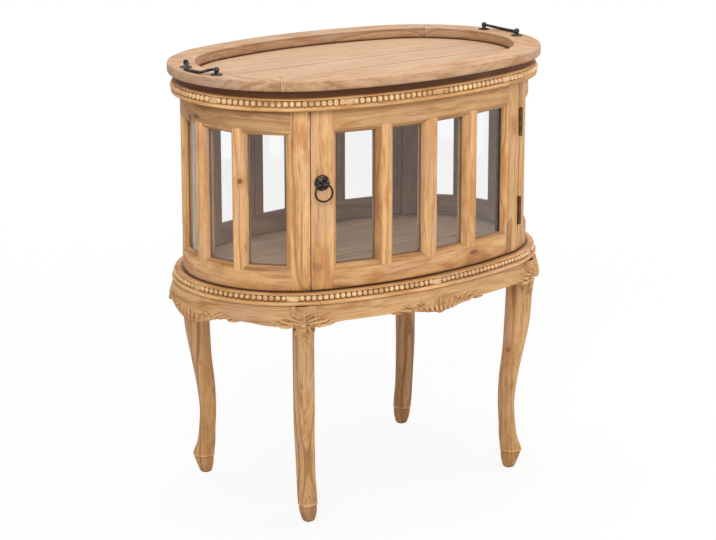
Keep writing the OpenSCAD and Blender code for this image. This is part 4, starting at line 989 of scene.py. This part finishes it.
fitPiece(pullPart("pullRing", bentWire(ring, pullShape["wire"], 14, True), True), "pull_ring")
print("ironwork ready")

# Stage: a pale floor that shows the shadow near the cabinet and turns white away from it, in a white room
stageLook = {"floorSize": 14.0, "floorGlow": 0.86, "ambient": 0.60}


def seenRays(tree):
    path = addNode(tree, "ShaderNodeLightPath")
    mirrored = sumOf(tree, "MAXIMUM", path.outputs["Is Glossy Ray"], path.outputs["Is Transmission Ray"])
    return sumOf(tree, "MAXIMUM", path.outputs["Is Camera Ray"], mirrored)


half = stageLook["floorSize"] / 2
mesh = bpy.data.meshes.new("paleFloor")
mesh.from_pydata([(-half, -half, 0), (half, -half, 0), (half, half, 0), (-half, half, 0)], [], [(0, 1, 2, 3)])
floor = bpy.data.objects.new("paleFloor", mesh)
scene.collection.objects.link(floor)
floorPaint, tree, shader = newMaterial("palePaper", Roughness=0.9, **{"Base Color": (0.82, 0.82, 0.82, 1)})
glow = addNode(tree, "ShaderNodeEmission", {"Color": (1, 1, 1, 1), "Strength": 1.0})
away = vectorOf(tree, "LENGTH", addNode(tree, "ShaderNodeTexCoord").outputs["Object"]).outputs["Value"]
share = sumOf(tree, "MULTIPLY", seenRays(tree), spread(tree, away, 0.6, 2.2, stageLook["floorGlow"], 1.0))
mix = addNode(tree, "ShaderNodeMixShader", {0: share, 1: shader.outputs[0], 2: glow.outputs[0]})
tree.links.new(mix.outputs[0], tree.nodes["Material Output"].inputs["Surface"])
floor.data.materials.append(floorPaint)

world = bpy.data.worlds.new("paleRoom")
scene.world = world
world.use_nodes = True
tree = world.node_tree
room = tree.nodes["Background"]
room.inputs["Color"].default_value = (1, 1, 1, 1)
tree.links.new(spread(tree, seenRays(tree), 0.0, 1.0, stageLook["ambient"], 1.0), room.inputs["Strength"])

lampRig = {"key": {"at": (-2.6, -3.2, 3.4), "size": 2.2, "power": 125.0},
           "side": {"at": (3.4, -2.2, 2.2), "size": 2.4, "power": 55.0},
           "top": {"at": (0.3, 0.6, 3.6), "size": 2.2, "power": 48.0}}
for name, lamp in lampRig.items():
    light = bpy.data.lights.new(name + "Lamp", "AREA")
    light.shape = "SQUARE"
    light.size = lamp["size"]
    light.energy = lamp["power"]
    holder = bpy.data.objects.new(name + "Lamp", light)
    scene.collection.objects.link(holder)
    holder.location = lamp["at"]
    holder.rotation_euler = (Vector((0, 0, 0.5)) - Vector(lamp["at"])).to_track_quat("-Z", "Y").to_euler()

cameraView = {"at": (-2.6124, -3.4118, 1.5414), "turn": (75.132, 0.0, -37.441), "lens": 119.04,
              "shift": (0.000475, -0.00476), "sensor": 36, "farthest": 50}
camera = bpy.data.cameras.new("photoCamera")
camera.lens = cameraView["lens"]
camera.sensor_width = cameraView["sensor"]
camera.shift_x, camera.shift_y = cameraView["shift"]
camera.clip_end = cameraView["farthest"]
holder = bpy.data.objects.new("photoCamera", camera)
scene.collection.objects.link(holder)
holder.location = cameraView["at"]
holder.rotation_euler = [math.radians(angle) for angle in cameraView["turn"]]
scene.camera = holder
scene.view_settings.view_transform = "Standard"
print("stage, lamps and camera ready")
